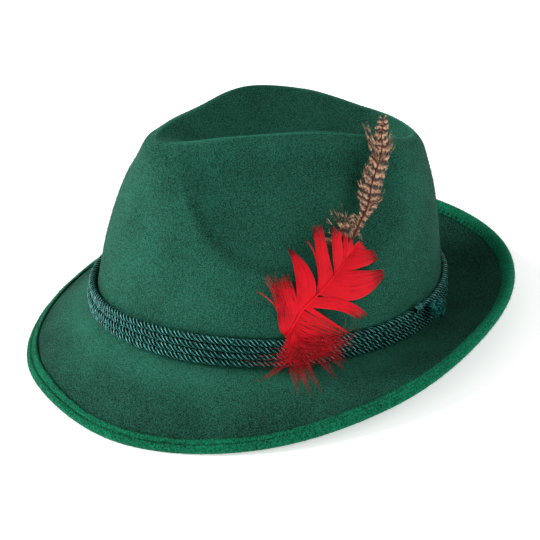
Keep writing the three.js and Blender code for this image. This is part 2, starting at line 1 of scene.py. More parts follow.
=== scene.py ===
"""Tyrolean hat: felt body, bound brim, corded band and a sprig of feathers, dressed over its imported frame."""
import logging
import math
from dataclasses import dataclass, field
from enum import Enum
import bpy
import numpy as np
from mathutils import Matrix, Vector, noise

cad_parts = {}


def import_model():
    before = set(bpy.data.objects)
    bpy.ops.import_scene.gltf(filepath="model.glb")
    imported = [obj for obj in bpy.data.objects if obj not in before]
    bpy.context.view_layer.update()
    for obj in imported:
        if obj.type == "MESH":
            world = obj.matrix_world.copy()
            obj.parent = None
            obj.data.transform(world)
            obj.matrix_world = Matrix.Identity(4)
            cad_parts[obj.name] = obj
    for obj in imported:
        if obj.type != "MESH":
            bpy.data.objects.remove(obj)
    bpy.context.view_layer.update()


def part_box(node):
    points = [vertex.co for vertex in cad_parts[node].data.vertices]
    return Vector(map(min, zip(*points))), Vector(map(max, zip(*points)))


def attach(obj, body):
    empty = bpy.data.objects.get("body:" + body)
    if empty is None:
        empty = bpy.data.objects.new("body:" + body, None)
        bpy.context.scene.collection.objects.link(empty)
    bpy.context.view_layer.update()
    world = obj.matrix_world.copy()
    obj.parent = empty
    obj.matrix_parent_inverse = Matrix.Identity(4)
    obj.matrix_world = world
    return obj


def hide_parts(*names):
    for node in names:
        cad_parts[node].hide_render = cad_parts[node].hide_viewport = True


LOG = logging.getLogger("hat")
METRE = 0.001
BODY = "root"
Array = np.ndarray

# Round the hat from front to back, every thirty degrees
STEP = 30.0
LEVELS = np.array([0.00, 0.22, 0.45, 0.66, 0.84, 0.94, 1.00])
REACH_FRONT = np.array([1.000, 0.955, 0.908, 0.851, 0.794, 0.769, 0.722])
REACH_BACK = np.array([1.000, 0.991, 0.968, 0.938, 0.900, 0.868, 0.818])
WIDTHS = np.array([
    [1.00, 1.00, 1.00, 1.00, 1.00, 1.00, 1.00],
    [0.98, 1.01, 1.03, 1.05, 1.02, 0.98, 0.98],
    [0.93, 0.94, 0.92, 0.91, 0.92, 0.95, 0.95],
    [0.82, 0.80, 0.74, 0.73, 0.79, 0.89, 0.92],
    [0.63, 0.58, 0.53, 0.54, 0.64, 0.80, 0.88],
    [0.43, 0.44, 0.39, 0.44, 0.55, 0.71, 0.84],
    [0.26, 0.28, 0.31, 0.44, 0.52, 0.59, 0.80],
])
RIM = np.array([0.944, 0.958, 0.986, 1.000, 0.930, 0.835, 0.814])
CREASE = np.array([0.90, 0.86, 0.80, 0.76, 0.73, 0.71, 0.70])
BRIM_SHARE = np.array([0.950, 1.046, 1.038, 0.976, 0.946, 0.965, 1.000])
BRIM_ROOT = np.array([-40.0, -34.0, -20.0, -6.2, 2.0, 4.3, 4.0])
BRIM_EDGE = np.array([-53.2, -53.6, -44.5, -12.3, 33.9, 54.6, 57.2])


def through(places: Array, values: Array, place: Array) -> Array:
    """Smooth curve through table values, with straight ends.

    Args:
        places: Rising places of the values.
        values: One value at each place, or one row of values at each place for every element of place.
        place: Where the curve is read.

    Returns:
        The curve's values.
    """
    place = np.asarray(place, float)
    last = len(places) - 1
    left = np.clip(np.searchsorted(places, place, side="right") - 1, 0, last - 1)

    def value(k: Array) -> Array:
        """The table's value at row k, for each element."""
        if values.ndim == 1:
            return values[k]
        return np.take_along_axis(values, k[None], 0)[0]

    def slope(k: Array) -> Array:
        """The curve's slope at row k."""
        low, high = np.maximum(k - 1, 0), np.minimum(k + 1, last)
        return (value(high) - value(low)) / (places[high] - places[low])

    span = places[left + 1] - places[left]
    t = (place - places[left]) / span
    t2, t3 = t * t, t * t * t
    start = (2 * t3 - 3 * t2 + 1) * value(left) + (t3 - 2 * t2 + t) * span * slope(left)
    return start + (3 * t2 - 2 * t3) * value(left + 1) + (t3 - t2) * span * slope(left + 1)


def wrapped(angle: Array) -> Array:
    """Degrees from the front, alike on both sides."""
    return np.abs((np.asarray(angle, float) + 180.0) % 360.0 - 180.0)


def round_the_hat(values: Array, angle: Array) -> Array:
    """A value from front to back, alike on the two sides.

    Args:
        values: Seven values, or seven rows of values for every element of angle.
        angle: Degrees from the front.

    Returns:
        The value at each angle.
    """
    even = np.concatenate([values[1:2], values, values[-2:-1]])
    places = (np.arange(len(even)) - 1) * STEP
    return through(places, even, wrapped(angle))


def unit(vectors: Array) -> Array:
    """The vectors at length one."""
    return vectors / np.maximum(np.linalg.norm(vectors, axis=-1, keepdims=True), 1e-12)


def up_like(vectors: Array) -> Array:
    """The upward unit vector, once for each of the vectors."""
    return np.broadcast_to(np.array([0.0, 0.0, 1.0]), vectors.shape)


@dataclass
class HatForm:
    """The felt's form in millimetres, with the head opening level, and how the hat rests."""

    head_length: float = 200.0
    head_width: float = 170.8
    crown_height: float = 113.0
    felt: float = 2.2
    break_radius: float = 3.0
    fold_softness: float = 2.2
    crease_front: float = 50.0
    crease_back: float = 56.0
    crease_curve: float = 1.5
    brim_front: float = 53.0
    brim_side: float = 46.0
    brim_back: float = 42.3
    pinch_angle: float = 80.0
    pinch_reach: float = 51.0
    pinch_spread: float = 0.60
    pinch_depth: float = 8.5
    pinch_edge: float = 0.36
    pinch_round: float = 2.3
    pinch_lip: float = 0.16
    feathers_span: float = 0.75
    binding_felt: float = 1.2
    gap: float = 0.3
    pressed: float = 0.35
    sectors: int = 54
    tilt: float = 0.0
    shift: Array = field(default_factory=lambda: np.zeros(3))

    def outward(self, angle: Array) -> Array:
        """Unit vectors straight out from the head opening."""
        turn = np.radians(angle)
        out = np.stack([self.head_length * np.sin(turn), -self.head_width * np.cos(turn), 0 * turn], -1)
        return unit(out)

    def rim_height(self, angle: Array) -> Array:
        """The rim's height over the head opening."""
        return self.crown_height * round_the_hat(RIM, angle)

    def pinch(self, angle: Array, share: Array) -> Array:
        """How deep the side pinch is at a place on the crown's wall."""
        across = np.abs(wrapped(angle) - self.pinch_angle) / self.pinch_reach
        along = np.maximum(1 - share, 0) / self.pinch_spread
        inside = np.clip((1 - across**self.pinch_round - along**self.pinch_round) / self.pinch_edge, 0, 1)
        lip = np.clip((1 - share) / self.pinch_lip, 0, 1)
        return self.pinch_depth * inside**2 * (3 - 2 * inside) * lip**2 * (3 - 2 * lip)

    def wall(self, angle: Array, share: Array) -> Array:
        """Points of the crown's wall.

        Args:
            angle: Degrees from the front.
            share: Share of the way from the break up to the rim.

        Returns:
            Points, one for each pair.
        """
        angle, share = np.broadcast_arrays(np.asarray(angle, float), np.asarray(share, float))
        turn = np.radians(angle)
        widths = np.stack([through(LEVELS, WIDTHS[:, k], share) for k in range(WIDTHS.shape[1])])
        front = through(LEVELS, REACH_FRONT, share)
        back = through(LEVELS, REACH_BACK, share)
        reach = (front + back) / 2 + (front - back) / 2 * np.cos(turn)
        width = round_the_hat(widths, angle)
        low = self.break_radius
        point = np.stack([
            self.head_width / 2 * np.sin(turn) * width,
            -self.head_length / 2 * np.cos(turn) * reach,
            low + (self.rim_height(angle) - low) * share,
        ], -1)
        return point - self.outward(angle) * self.pinch(angle, share)[..., None]

    def crease(self, angle: Array) -> Array:
        """The bottom of the crown's lengthwise crease."""
        lean = np.cos(np.radians(angle))
        reach = np.where(lean > 0, self.crease_front, self.crease_back)
        return np.stack([0 * lean, -lean * reach, self.crown_height * round_the_hat(CREASE, angle)], -1)

    def crease_span(self, angle: Array) -> Array:
        """The level distance from the rim to the bottom of the crease."""
        return np.linalg.norm((self.wall(angle, 1.0) - self.crease(angle))[..., :2], axis=-1)

    def profile(self, angle: Array, distance: Array) -> Array:
        """The crown by distance from its rim, down the wall, or into the crease where negative."""
        rim = self.wall(angle, 1.0)
        down = self.wall(angle, 1 - np.maximum(distance, 0) / (self.rim_height(angle) - self.break_radius))
        bottom = self.crease(angle)
        share = 1 + np.minimum(distance, 0) / self.crease_span(angle)
        inside = np.abs(share)[..., None]
        level = bottom + (rim - bottom) * inside
        level[..., 2] = bottom[..., 2] + (rim - bottom)[..., 2] * inside[..., 0] ** self.crease_curve
        level[..., 0] = np.where(share < 0, -level[..., 0], level[..., 0])
        return np.where((np.asarray(distance) >= 0)[..., None], down, level)

    def crown(self, angle: Array, distance: Array) -> Array:
        """The profile with its folds softened."""
        angle, distance = np.broadcast_arrays(np.asarray(angle, float), np.asarray(distance, float))
        reaches = np.linspace(-1, 1, 9)
        points = [self.profile(angle, distance + reach * self.fold_softness / 2) for reach in reaches]
        return np.mean(points, axis=0)

    def brim_width(self, angle: Array) -> Array:
        """The brim's width along the felt."""
        front, side, back = self.brim_front, self.brim_side, self.brim_back
        named = np.array([front, (2 * front + side) / 3, (front + 2 * side) / 3, side,
                          (2 * side + back) / 3, (side + 2 * back) / 3, back])
        return round_the_hat(named, angle) * round_the_hat(BRIM_SHARE, angle)

    def break_turn(self, angle: Array) -> Array:
        """How far the break's round turns, in radians."""
        return np.radians(90.0 + round_the_hat(BRIM_ROOT, angle))

    def brim(self, angle: Array, distance: Array) -> Array:
        """The brim's upper face, by distance along the felt from the end of the break's round."""
        angle, distance = np.broadcast_arrays(np.asarray(angle, float), np.asarray(distance, float))
        turn = np.radians(angle)
        root = np.radians(round_the_hat(BRIM_ROOT, angle))
        edge = np.radians(round_the_hat(BRIM_EDGE, angle))
        bend = (edge - root) / self.brim_width(angle)
        part = self.break_turn(angle) + np.minimum(distance, 0) / self.break_radius
        slope = root + bend * np.maximum(distance, 0)
        out = self.break_radius * (1 - np.cos(part)) + (np.sin(slope) - np.sin(root)) / bend
        rise = self.break_radius * (1 - np.sin(part)) + (np.cos(root) - np.cos(slope)) / bend
        point = np.stack([self.head_width / 2 * np.sin(turn), -self.head_length / 2 * np.cos(turn), rise], -1)
        return point + self.outward(angle) * out[..., None]

    def beside(self, angle: Array, height: Array, out: Array, spanning: float = 0.0) -> Array:
        """Points beside the crown, by height over the break and distance out from the wall.

        Args:
            angle: Degrees from the front.
            height: Millimetres over the break.
            out: Millimetres out from the wall.
            spanning: How much of the dent they stand clear of, from 0 to 1.

        Returns:
            Points, one for each.
        """
        angle, height, out = np.broadcast_arrays(np.asarray(angle, float), np.asarray(height, float), out)
        low = self.break_radius
        share = np.clip((height - low) / (self.rim_height(angle) - low), 0, 1)
        clear = out + spanning * self.pinch(angle, share)
        point = self.wall(angle, share) + self.outward(angle) * clear[..., None]
        point[..., 2] = height
        return point

    def settle(self) -> None:
        """Works out how the hat tips back to rest, and places it over the frame's own felt."""
        angle = np.arange(self.sectors) * 360.0 / self.sectors
        outer = self.felt / 2 + self.gap + self.binding_felt
        low_points = []
        for turn in np.linspace(0, math.pi, 9):
            inset = outer - outer * math.sin(turn)
            low_points.append(self.binding_point(angle, inset, outer * math.cos(turn)))
        for part in (0.5, 0.25, 0.0):
            place = self.brim(angle, -self.break_radius * self.break_turn(angle) * part)
            low_points.append(place - self.brim_face(angle, -part) * self.felt)
        points = np.concatenate(low_points)

        def lowest(tilt: float, behind: bool) -> float:
            """The lowest height in front or behind at a tilt."""
            side = points[(points[:, 1] > 0) == behind]
            return float((side[:, 2] * math.cos(tilt) + side[:, 1] * math.sin(tilt)).min())

        low, high = -math.pi / 6, math.pi / 6
        for _ in range(40):
            middle = (low + high) / 2
            if lowest(middle, True) > lowest(middle, False):
                high = middle
            else:
                low = middle
        self.tilt = (low + high) / 2
        tipped = self.turned(points)
        lo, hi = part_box("brim_binding")
        middle_y = (tipped[:, 1].min() + tipped[:, 1].max()) / 2
        self.shift = np.array([0.0, (lo.y + hi.y) / 2 / METRE - middle_y, -tipped[:, 2].min() - self.pressed])

    def turned(self, points: Array) -> Array:
        """Points tipped from the level hat to where it rests, in millimetres."""
        cos, sin = math.cos(self.tilt), math.sin(self.tilt)
        x, y, z = points[..., 0], points[..., 1], points[..., 2]
        return np.stack([x, y * cos - z * sin, y * sin + z * cos], -1) + self.shift

    def rest(self, points: Array) -> Array:
        """Points of the hat where it rests, pressed flat on the floor, in metres."""
        placed = self.turned(points)
        placed[..., 2] = np.maximum(placed[..., 2], 0.0)
        return placed * METRE

    def brim_face(self, angle: Array, distance: Array) -> Array:
        """The way that the brim's upper face looks."""
        along = unit(self.brim(angle, np.asarray(distance) + 1.0) - self.brim(angle, np.asarray(distance) - 1.0))
        out = self.outward(angle)
        across = np.stack([-out[..., 1], out[..., 0], 0 * out[..., 0]], -1)
        return unit(np.cross(along, across))

    def binding_point(self, angle: Array, inset: Array, off: Array) -> Array:
        """A point of the edge binding, by distance in from the edge and off the felt's middle."""
        width = self.brim_width(angle)
        face = self.brim_face(angle, width - inset)
        return self.brim(angle, width - inset) + face * (np.asarray(off) - self.felt / 2)[..., None]


def mesh_object(name: str, points: Array, faces: list | Array, material: bpy.types.Material,
                uv: Array | None = None, marks: dict[str, Array] | None = None) -> bpy.types.Object:
    """A smooth mesh object at the origin.

    Args:
        name: The object's name.
        points: Vertices in metres.
        faces: Vertex numbers of each face.
        material: Its one material.
        uv: A place on the pattern for every vertex, if the material follows the surface.
        marks: Named values for every vertex.

    Returns:
        The new object.
    """
    mesh = bpy.data.meshes.new(name)
    mesh.from_pydata(points.tolist(), [], faces.tolist() if isinstance(faces, np.ndarray) else faces)
    mesh.polygons.foreach_set("use_smooth", np.ones(len(mesh.polygons), bool))
    if uv is not None:
        corners = np.zeros(len(mesh.loops), int)
        mesh.loops.foreach_get("vertex_index", corners)
        layer = mesh.uv_layers.new(name="UVMap")
        layer.data.foreach_set("uv", np.asarray(uv, float)[corners].ravel())
    for title, values in (marks or {}).items():
        mesh.attributes.new(title, "FLOAT", "POINT").data.foreach_set("value", np.asarray(values, float).ravel())
    mesh.materials.append(material)
    mesh.update()
    thing = bpy.data.objects.new(name, mesh)
    bpy.context.collection.objects.link(thing)
    return thing


def grid_faces(rows: int, columns: int, close_rows: bool, close_columns: bool) -> Array:
    """Four-sided faces over a grid of points numbered row by row."""
    i = np.arange(rows if close_rows else rows - 1)[:, None]
    j = np.arange(columns if close_columns else columns - 1)[None, :]
    a = i * columns + j
    b = (i + 1) % rows * columns + j
    c = (i + 1) % rows * columns + (j + 1) % columns
    d = i * columns + (j + 1) % columns
    return np.stack([a, b, c, d], -1).reshape(-1, 4)


def merged(thing: bpy.types.Object, distance: float = 1e-6) -> bpy.types.Object:
    """The object with its doubled vertices joined and its faces looking out."""
    import bmesh
    work = bmesh.new()
    work.from_mesh(thing.data)
    bmesh.ops.remove_doubles(work, verts=work.verts, dist=distance)
    bmesh.ops.dissolve_degenerate(work, edges=work.edges, dist=distance / 2)
    bmesh.ops.recalc_face_normals(work, faces=work.faces)
    work.to_mesh(thing.data)
    work.free()
    return thing


def ripple(points: Array, scale: float, seed: float = 0.0) -> Array:
    """Smooth noise over points in millimetres, from about -1 to 1, with features of the given size."""
    flat = points.reshape(-1, 3) / scale + seed
    values = [noise.noise(Vector(row)) for row in flat]
    return np.array(values).reshape(points.shape[:-1])


@dataclass(frozen=True)
class Tube:
    """Many strands as one mesh of tubes, closed into rings or open at their ends."""

    sides: int = 8
    closed: bool = False

    def build(self, paths: Array, across: Array, radius: Array) -> tuple[Array, Array, Array]:
        """Vertices, faces and pattern places of tubes along paths.

        Args:
            paths: Points of every path, path by path.
            across: A vector off each path that its sections start from.
            radius: Radius at each point.

        Returns:
            The vertices, the faces, and along-and-round places for every vertex.
        """
        count, steps = paths.shape[:2]
        if self.closed:
            along = unit(np.roll(paths, -1, 1) - np.roll(paths, 1, 1))
        else:
            along = unit(np.gradient(paths, axis=1))
        side = unit(np.cross(along, across))
        face = np.cross(side, along)
        turn = np.arange(self.sides) * 2 * np.pi / self.sides
        ring = side[:, :, None] * np.cos(turn)[:, None] + face[:, :, None] * np.sin(turn)[:, None]
        verts = (paths[:, :, None] + ring * radius[..., None, None]).reshape(-1, 3)
        one = grid_faces(steps, self.sides, self.closed, True)
        size = steps * self.sides
        faces = (one[None] + (np.arange(count) * size)[:, None, None]).reshape(-1, 4)
        length = np.concatenate([np.zeros((count, 1)),
                                 np.cumsum(np.linalg.norm(np.diff(paths, axis=1), axis=-1), 1)], 1)
        uv = np.stack(np.broadcast_arrays(length[..., None], turn / (2 * np.pi)), -1).reshape(-1, 2)
        return verts, faces, uv


def ribbons(paths: Array, face: Array, width: Array) -> tuple[Array, Array, Array]:
    """Flat ribbons along paths.

    Args:
        paths: Points of every path, path by path.
        face: The way each ribbon looks at each point.
        width: Its width at each point.

    Returns:
        The vertices, the faces, and along-and-across places for every vertex.
    """
    count, steps = paths.shape[:2]
    along = unit(np.gradient(paths, axis=1))
    side = unit(np.cross(along, face))
    half = side * width[..., None] / 2
    verts = np.stack([paths - half, paths + half], 2).reshape(-1, 3)
    one = grid_faces(steps, 2, False, False)
    faces = (one[None] + (np.arange(count) * steps * 2)[:, None, None]).reshape(-1, 4)
    share = np.broadcast_to(np.linspace(0, 1, steps)[None, :, None], (count, steps, 2))
    edge = np.broadcast_to(np.array([0.0, 1.0])[None, None], (count, steps, 2))
    return verts, faces, np.stack([share, edge], -1).reshape(-1, 2)


def joined(parts: list[tuple[Array, Array, Array]]) -> tuple[Array, list, Array]:
    """Several sets of vertices, faces and pattern places as one."""
    verts, faces, places, start = [], [], [], 0
    for points, shape, uv in parts:
        verts.append(points)
        faces.extend((np.asarray(shape) + start).tolist())
        places.append(uv)
        start += len(points)
    return np.concatenate(verts), faces, np.concatenate(places)


class Nodes:
    """A short way to lay out one node tree."""

    def __init__(self, tree: bpy.types.NodeTree) -> None:
        """Starts with the tree to build in."""
        self.tree = tree

    def add(self, kind: str, inputs: dict | None = None, **settings: object) -> bpy.types.Node:
        """Adds a node.

        Args:
            kind: The node's type.
            inputs: Values or sockets for its inputs, by name or number.
            settings: Its own settings.

        Returns:
            The node.
        """
        node = self.tree.nodes.new(kind)
        for name, value in settings.items():
            setattr(node, name, value)
        for name, value in (inputs or {}).items():
            socket = node.inputs[name]
            if isinstance(value, bpy.types.NodeSocket):
                self.tree.links.new(value, socket)
            else:
                socket.default_value = value
        return node

    def math(self, operation: str, *values: object) -> bpy.types.NodeSocket:
        """The result of a maths node."""
        return self.add("ShaderNodeMath", dict(enumerate(values)), operation=operation).outputs[0]

    def mix(self, factor: object, first: object, second: object) -> bpy.types.NodeSocket:
        """A mix of two colours."""
        node = self.add("ShaderNodeMix", {0: factor, 6: first, 7: second}, data_type="RGBA")
        return node.outputs[2]

    def ramp(self, value: bpy.types.NodeSocket, low: float, high: float) -> bpy.types.NodeSocket:
        """A value stretched so that low becomes 0 and high becomes 1, held between them."""
        node = self.add("ShaderNodeMapRange", {0: value, 1: low, 2: high, 3: 0.0, 4: 1.0}, clamp=True)
        return node.outputs[0]


def colour(red: float, green: float, blue: float) -> tuple[float, float, float, float]:
    """A linear colour from display values of 0 to 255."""
    linear = [(v / 255 / 12.92) if v <= 10.3 else ((v / 255 + 0.055) / 1.055) ** 2.4 for v in (red, green, blue)]
    return (*linear, 1.0)


def nap_group() -> bpy.types.NodeTree:
    """The shader group of felt's nap: mottled tufts and fine hairs, as a value and a height."""
    tree = bpy.data.node_groups.new("felt_nap", "ShaderNodeTree")
    face = tree.interface
    for name, value in (("Tuft size", 1700.0), ("Hair size", 4200.0), ("Cloud size", 40.0)):
        socket = face.new_socket(name=name, in_out="INPUT", socket_type="NodeSocketFloat")
        socket.default_value = value
    for name in ("Tone", "Cloud", "Height"):
        face.new_socket(name=name, in_out="OUTPUT", socket_type="NodeSocketFloat")
    lay = Nodes(tree)
    given = lay.add("NodeGroupInput")
    result = lay.add("NodeGroupOutput")
    place = lay.add("ShaderNodeTexCoord").outputs["Object"]
    tuft = lay.add("ShaderNodeTexNoise", {"Vector": place, "Scale": given.outputs["Tuft size"], "Detail": 3.0,
                                          "Roughness": 0.6, "Distortion": 0.6})
    hair = lay.add("ShaderNodeTexNoise", {"Vector": place, "Scale": given.outputs["Hair size"], "Detail": 2.0,
                                          "Roughness": 0.7, "Distortion": 1.5})
    cloud = lay.add("ShaderNodeTexNoise", {"Vector": place, "Scale": given.outputs["Cloud size"], "Detail": 4.0})
    both = lay.math("MULTIPLY_ADD", hair.outputs[0], 0.45, tuft.outputs[0])
    links = tree.links
    links.new(lay.ramp(both, 0.61, 0.86), result.inputs["Tone"])
    links.new(lay.ramp(cloud.outputs[0], 0.3, 0.7), result.inputs["Cloud"])
    links.new(both, result.inputs["Height"])
    return tree


@dataclass(frozen=True)
class FeltFinish:
    """Brushed wool felt: a mottled green nap with a soft sheen, lightened by painted highlights and darkened by painted
    shade where the mesh marks them.
    """

    name: str
    dark: tuple
    light: tuple
    sheen: float = 0.10
    bump: float = 0.5
    tuft: float = 1700.0

    def material(self, nap: bpy.types.NodeTree) -> bpy.types.Material:
        """The material, on the shared nap group."""
        made = bpy.data.materials.new(self.name)
        made.use_nodes = True
        made.node_tree.nodes.clear()
        lay = Nodes(made.node_tree)
        group = lay.add("ShaderNodeGroup", node_tree=nap)
        group.inputs["Tuft size"].default_value = self.tuft
        cloudy = lay.math("MULTIPLY_ADD", group.outputs["Cloud"], 0.18, lay.math("MULTIPLY", group.outputs["Tone"], 0.82))
        # Painted light from the mesh's marks: one lightens the felt as a painted highlight, the other darkens it as
        # painted shade.
        crest = lay.add("ShaderNodeAttribute", attribute_name="crest")
        seam_and_painted_shade = lay.add("ShaderNodeAttribute", attribute_name="seam_and_painted_shade")
        with_painted_highlight = lay.math("MULTIPLY_ADD", crest.outputs["Fac"], 0.60, cloudy)
        with_painted_shade = lay.math("MULTIPLY_ADD", seam_and_painted_shade.outputs["Fac"], -0.80, with_painted_highlight)
        tone = lay.mix(lay.math("MAXIMUM", lay.math("MINIMUM", with_painted_shade, 1.0), 0.0), self.dark, self.light)
        bump = lay.add("ShaderNodeBump", {"Height": group.outputs["Height"], "Strength": self.bump, "Distance": 0.0006})
        shader = lay.add("ShaderNodeBsdfPrincipled", {"Base Color": tone, "Roughness": 0.95,
                                                      "Normal": bump.outputs[0]})
        shader.inputs["Sheen Weight"].default_value = self.sheen
        shader.inputs["Sheen Roughness"].default_value = 0.45
        shader.inputs["Sheen Tint"].default_value = self.light
        shader.inputs["Specular IOR Level"].default_value = 0.15
        end = lay.add("ShaderNodeOutputMaterial")
        made.node_tree.links.new(shader.outputs[0], end.inputs[0])
        return made


@dataclass(frozen=True)
class CordFinish:
    """Satin filament cord: fine threads along each strand, with a painted highlight on each strand's crest and painted
    shade down its sides.
    """

    name: str
    # dark is the painted shade on the strands' sides and in the grooves, light the painted highlight on their crests.
    dark: tuple
    light: tuple
    gleam: tuple
    roughness: float = 0.38

    def material(self) -> bpy.types.Material:
        """The material, following the strand by its pattern places."""
        made = bpy.data.materials.new(self.name)
        made.use_nodes = True
        made.node_tree.nodes.clear()
        lay = Nodes(made.node_tree)
        place = lay.add("ShaderNodeUVMap", uv_map="UVMap").outputs[0]
        apart = lay.add("ShaderNodeSeparateXYZ", {0: place})
        slanted = lay.math("MULTIPLY_ADD", apart.outputs[0], 0.12, lay.math("MULTIPLY", apart.outputs[1], 6.0))
        thread = lay.math("SINE", lay.math("MULTIPLY", slanted, 2 * math.pi))
        spot = lay.add("ShaderNodeTexNoise", {"Vector": lay.add("ShaderNodeTexCoord").outputs["Object"],
                                              "Scale": 700.0, "Detail": 2.0})
        # Painted highlight: each strand's crest turns light in the colour and its sides stay dark as painted shade; the
        # threads and spots vary it.
        crest = lay.math("SINE", lay.math("MULTIPLY", apart.outputs[1], 2 * math.pi))
        lit = lay.math("MULTIPLY_ADD", thread, 0.16, lay.math("MULTIPLY_ADD", spot.outputs[0], 0.5, crest))
        tone = lay.ramp(lit, 1.16, 1.46)
        shade = lay.mix(tone, self.dark, self.light)
        bump = lay.add("ShaderNodeBump", {"Height": thread, "Strength": 0.35, "Distance": 0.0001})
        shader = lay.add("ShaderNodeBsdfPrincipled", {"Base Color": shade, "Normal": bump.outputs[0]})
        shader.inputs["Roughness"].default_value = self.roughness
        shader.inputs["Specular Tint"].default_value = self.gleam
        shader.inputs["Specular IOR Level"].default_value = 0.35
        end = lay.add("ShaderNodeOutputMaterial")
        made.node_tree.links.new(shader.outputs[0], end.inputs[0])
        return made


@dataclass(frozen=True)
class BarbFinish:
    """Feather barbs: dyed colour with fine lengthwise streaks."""

    name: str
    dark: tuple
    light: tuple
    glow: float = 0.0

    def material(self) -> bpy.types.Material:
        """The material, streaked by noise over the object."""
        made = bpy.data.materials.new(self.name)
        made.use_nodes = True
        made.node_tree.nodes.clear()
        lay = Nodes(made.node_tree)
        place = lay.add("ShaderNodeUVMap", uv_map="UVMap").outputs[0]
        apart = lay.add("ShaderNodeSeparateXYZ", {0: place})
        broad = lay.add("ShaderNodeTexNoise", {"Vector": lay.add("ShaderNodeTexCoord").outputs["Object"],
                                               "Scale": 160.0, "Detail": 2.0})
        tone = lay.math("MULTIPLY_ADD", apart.outputs[1], 0.22, lay.math("MULTIPLY", broad.outputs[0], 0.5))
        tipped = lay.math("MULTIPLY_ADD", lay.math("POWER", apart.outputs[0], 6.0), -0.55, tone)
        shade = lay.mix(lay.ramp(tipped, -0.15, 0.34), self.dark, self.light)
        shader = lay.add("ShaderNodeBsdfPrincipled", {"Base Color": shade})
        shader.inputs["Roughness"].default_value = 0.6
        shader.inputs["Sheen Weight"].default_value = self.glow
        shader.inputs["Specular IOR Level"].default_value = 0.2
        end = lay.add("ShaderNodeOutputMaterial")
        made.node_tree.links.new(shader.outputs[0], end.inputs[0])
        return made


@dataclass
class FeltBody:
    """Crown and brim as one felt wall."""

    form: HatForm
    columns: int = 324
    top_rows: int = 26
    wall_rows: int = 60
    brim_rows: int = 26
    waviness: float = 0.35
    crest_width: float = 1.1
    inner_pile: float = 0.15
    # Strengths of the painted highlight on the brim just below the band, and of the painted shade at the dent's lower
    # edge, on the back brim's upper face and on the front brim's outer part.
    roll_light: float = 0.28
    dent_shade: float = 0.22
    back_shade: float = 0.26
    front_shade: float = 0.24

    def rings(self) -> tuple[Array, Array]:
        """The outer face, ring by ring from the crease to the brim's edge, and its distance from the ridge."""
        form = self.form
        angle = np.arange(self.columns) * 360.0 / self.columns
        span = form.crease_span(angle)
        height = form.rim_height(angle) - form.break_radius
        away = [-span * (1 - share) for share in np.linspace(0, 1, self.top_rows)[:-1] ** 0.8]
        away += [height * share for share in np.linspace(0, 1, self.wall_rows) ** 1.35]
        rows = [form.crown(angle, distance) for distance in away]
        turn = form.break_radius * form.break_turn(angle)
        rows += [form.brim(angle, -turn * (1 - share)) for share in np.linspace(0, 1, 6)]
        reach = form.brim_width(angle) - form.binding_felt - form.gap
        rows += [form.brim(angle, reach * share) for share in np.linspace(0, 1, self.brim_rows)[1:]]
        away += [height] * (len(rows) - len(away))
        return np.array(rows), np.array(away)

    def build(self, material: bpy.types.Material) -> bpy.types.Object:
        """The felt wall as one closed mesh."""
        form = self.form
        outer, away = self.rings()
        angle = np.arange(self.columns) * 360.0 / self.columns
        lower = np.concatenate([outer[1:], outer[-1:]])
        upper = np.concatenate([outer[:1], outer[:-1]])
        face = unit(np.cross(lower - upper, np.roll(outer, -1, 1) - np.roll(outer, 1, 1)))
        face[0] = up_like(face[0])
        wave = ripple(outer[1:], 38.0)[..., None] + 0.4 * ripple(outer[1:], 14.0, 5.0)[..., None]
        fade = np.ones(len(outer) - 1)
        fade[:8] = np.linspace(0, 1, 8)
        fade[-8:] = np.linspace(1, 0, 8)
        outer[1:] += face[1:] * wave * self.waviness * fade[:, None, None]
        inner = (outer - face * form.felt)[::-1][::2]
        rings = np.concatenate([outer, inner])
        faces = grid_faces(len(rings), self.columns, False, True)
        # A band along the ridge, away from the front: it thickens the fibres there and is a painted highlight in the
        # felt's colour.
        crest = np.exp(-((away / self.crest_width) ** 2)) * np.clip((wrapped(angle) - 12.0) / 20.0, 0, 1)
        pile = np.concatenate([np.ones(outer.shape[:2]) + 2 * crest, np.full(inner.shape[:2], self.inner_pile)])
        along = np.zeros(len(outer))
        along[-self.brim_rows:] = np.linspace(0, 1, self.brim_rows)
        # Painted light on the felt: a highlight on the front brim just below the band, and shade on the front brim's
        # outer part, along the dent's lower edge, on the back brim's upper face and in a dark line at the brim's edge
        # beside the binding.
        front = np.clip((125.0 - wrapped(angle)) / 45.0, 0, 1)
        roll = np.exp(-(((along - 0.17) / 0.15) ** 2))[:, None] * (along > 0)[:, None] * front
        fall = np.clip((along - 0.30) / 0.45, 0, 1)[:, None] * front
        share = 1 - away / (form.rim_height(angle) - form.break_radius)
        dent = form.pinch(angle, share) / form.pinch_depth
        near = np.clip((form.pinch_angle + 15.0 - wrapped(angle)) / 30.0, 0, 1)
        foot = np.exp(-(((dent - 0.30) / 0.22) ** 2)) * (dent > 0) * (share < 0.75) * near
        edge = (along > 0.99)[:, None] * np.ones(outer.shape[:2])
        shaded = (along > 0)[:, None] * np.clip((wrapped(angle) - 100.0) / 30.0, 0, 1)
        seam_and_painted_shade = 0.9 * edge + (self.front_shade * fall + self.back_shade * shaded) * (1 - edge) + self.dent_shade * foot
        bare = np.zeros(inner.shape[:2])
        marks = {"crest": np.concatenate([crest + self.roll_light * roll, bare]), "pile": pile,
                 "seam_and_painted_shade": np.concatenate([seam_and_painted_shade, bare])}
        return merged(mesh_object("felt_body", form.rest(rings.reshape(-1, 3)), faces, material, marks=marks))


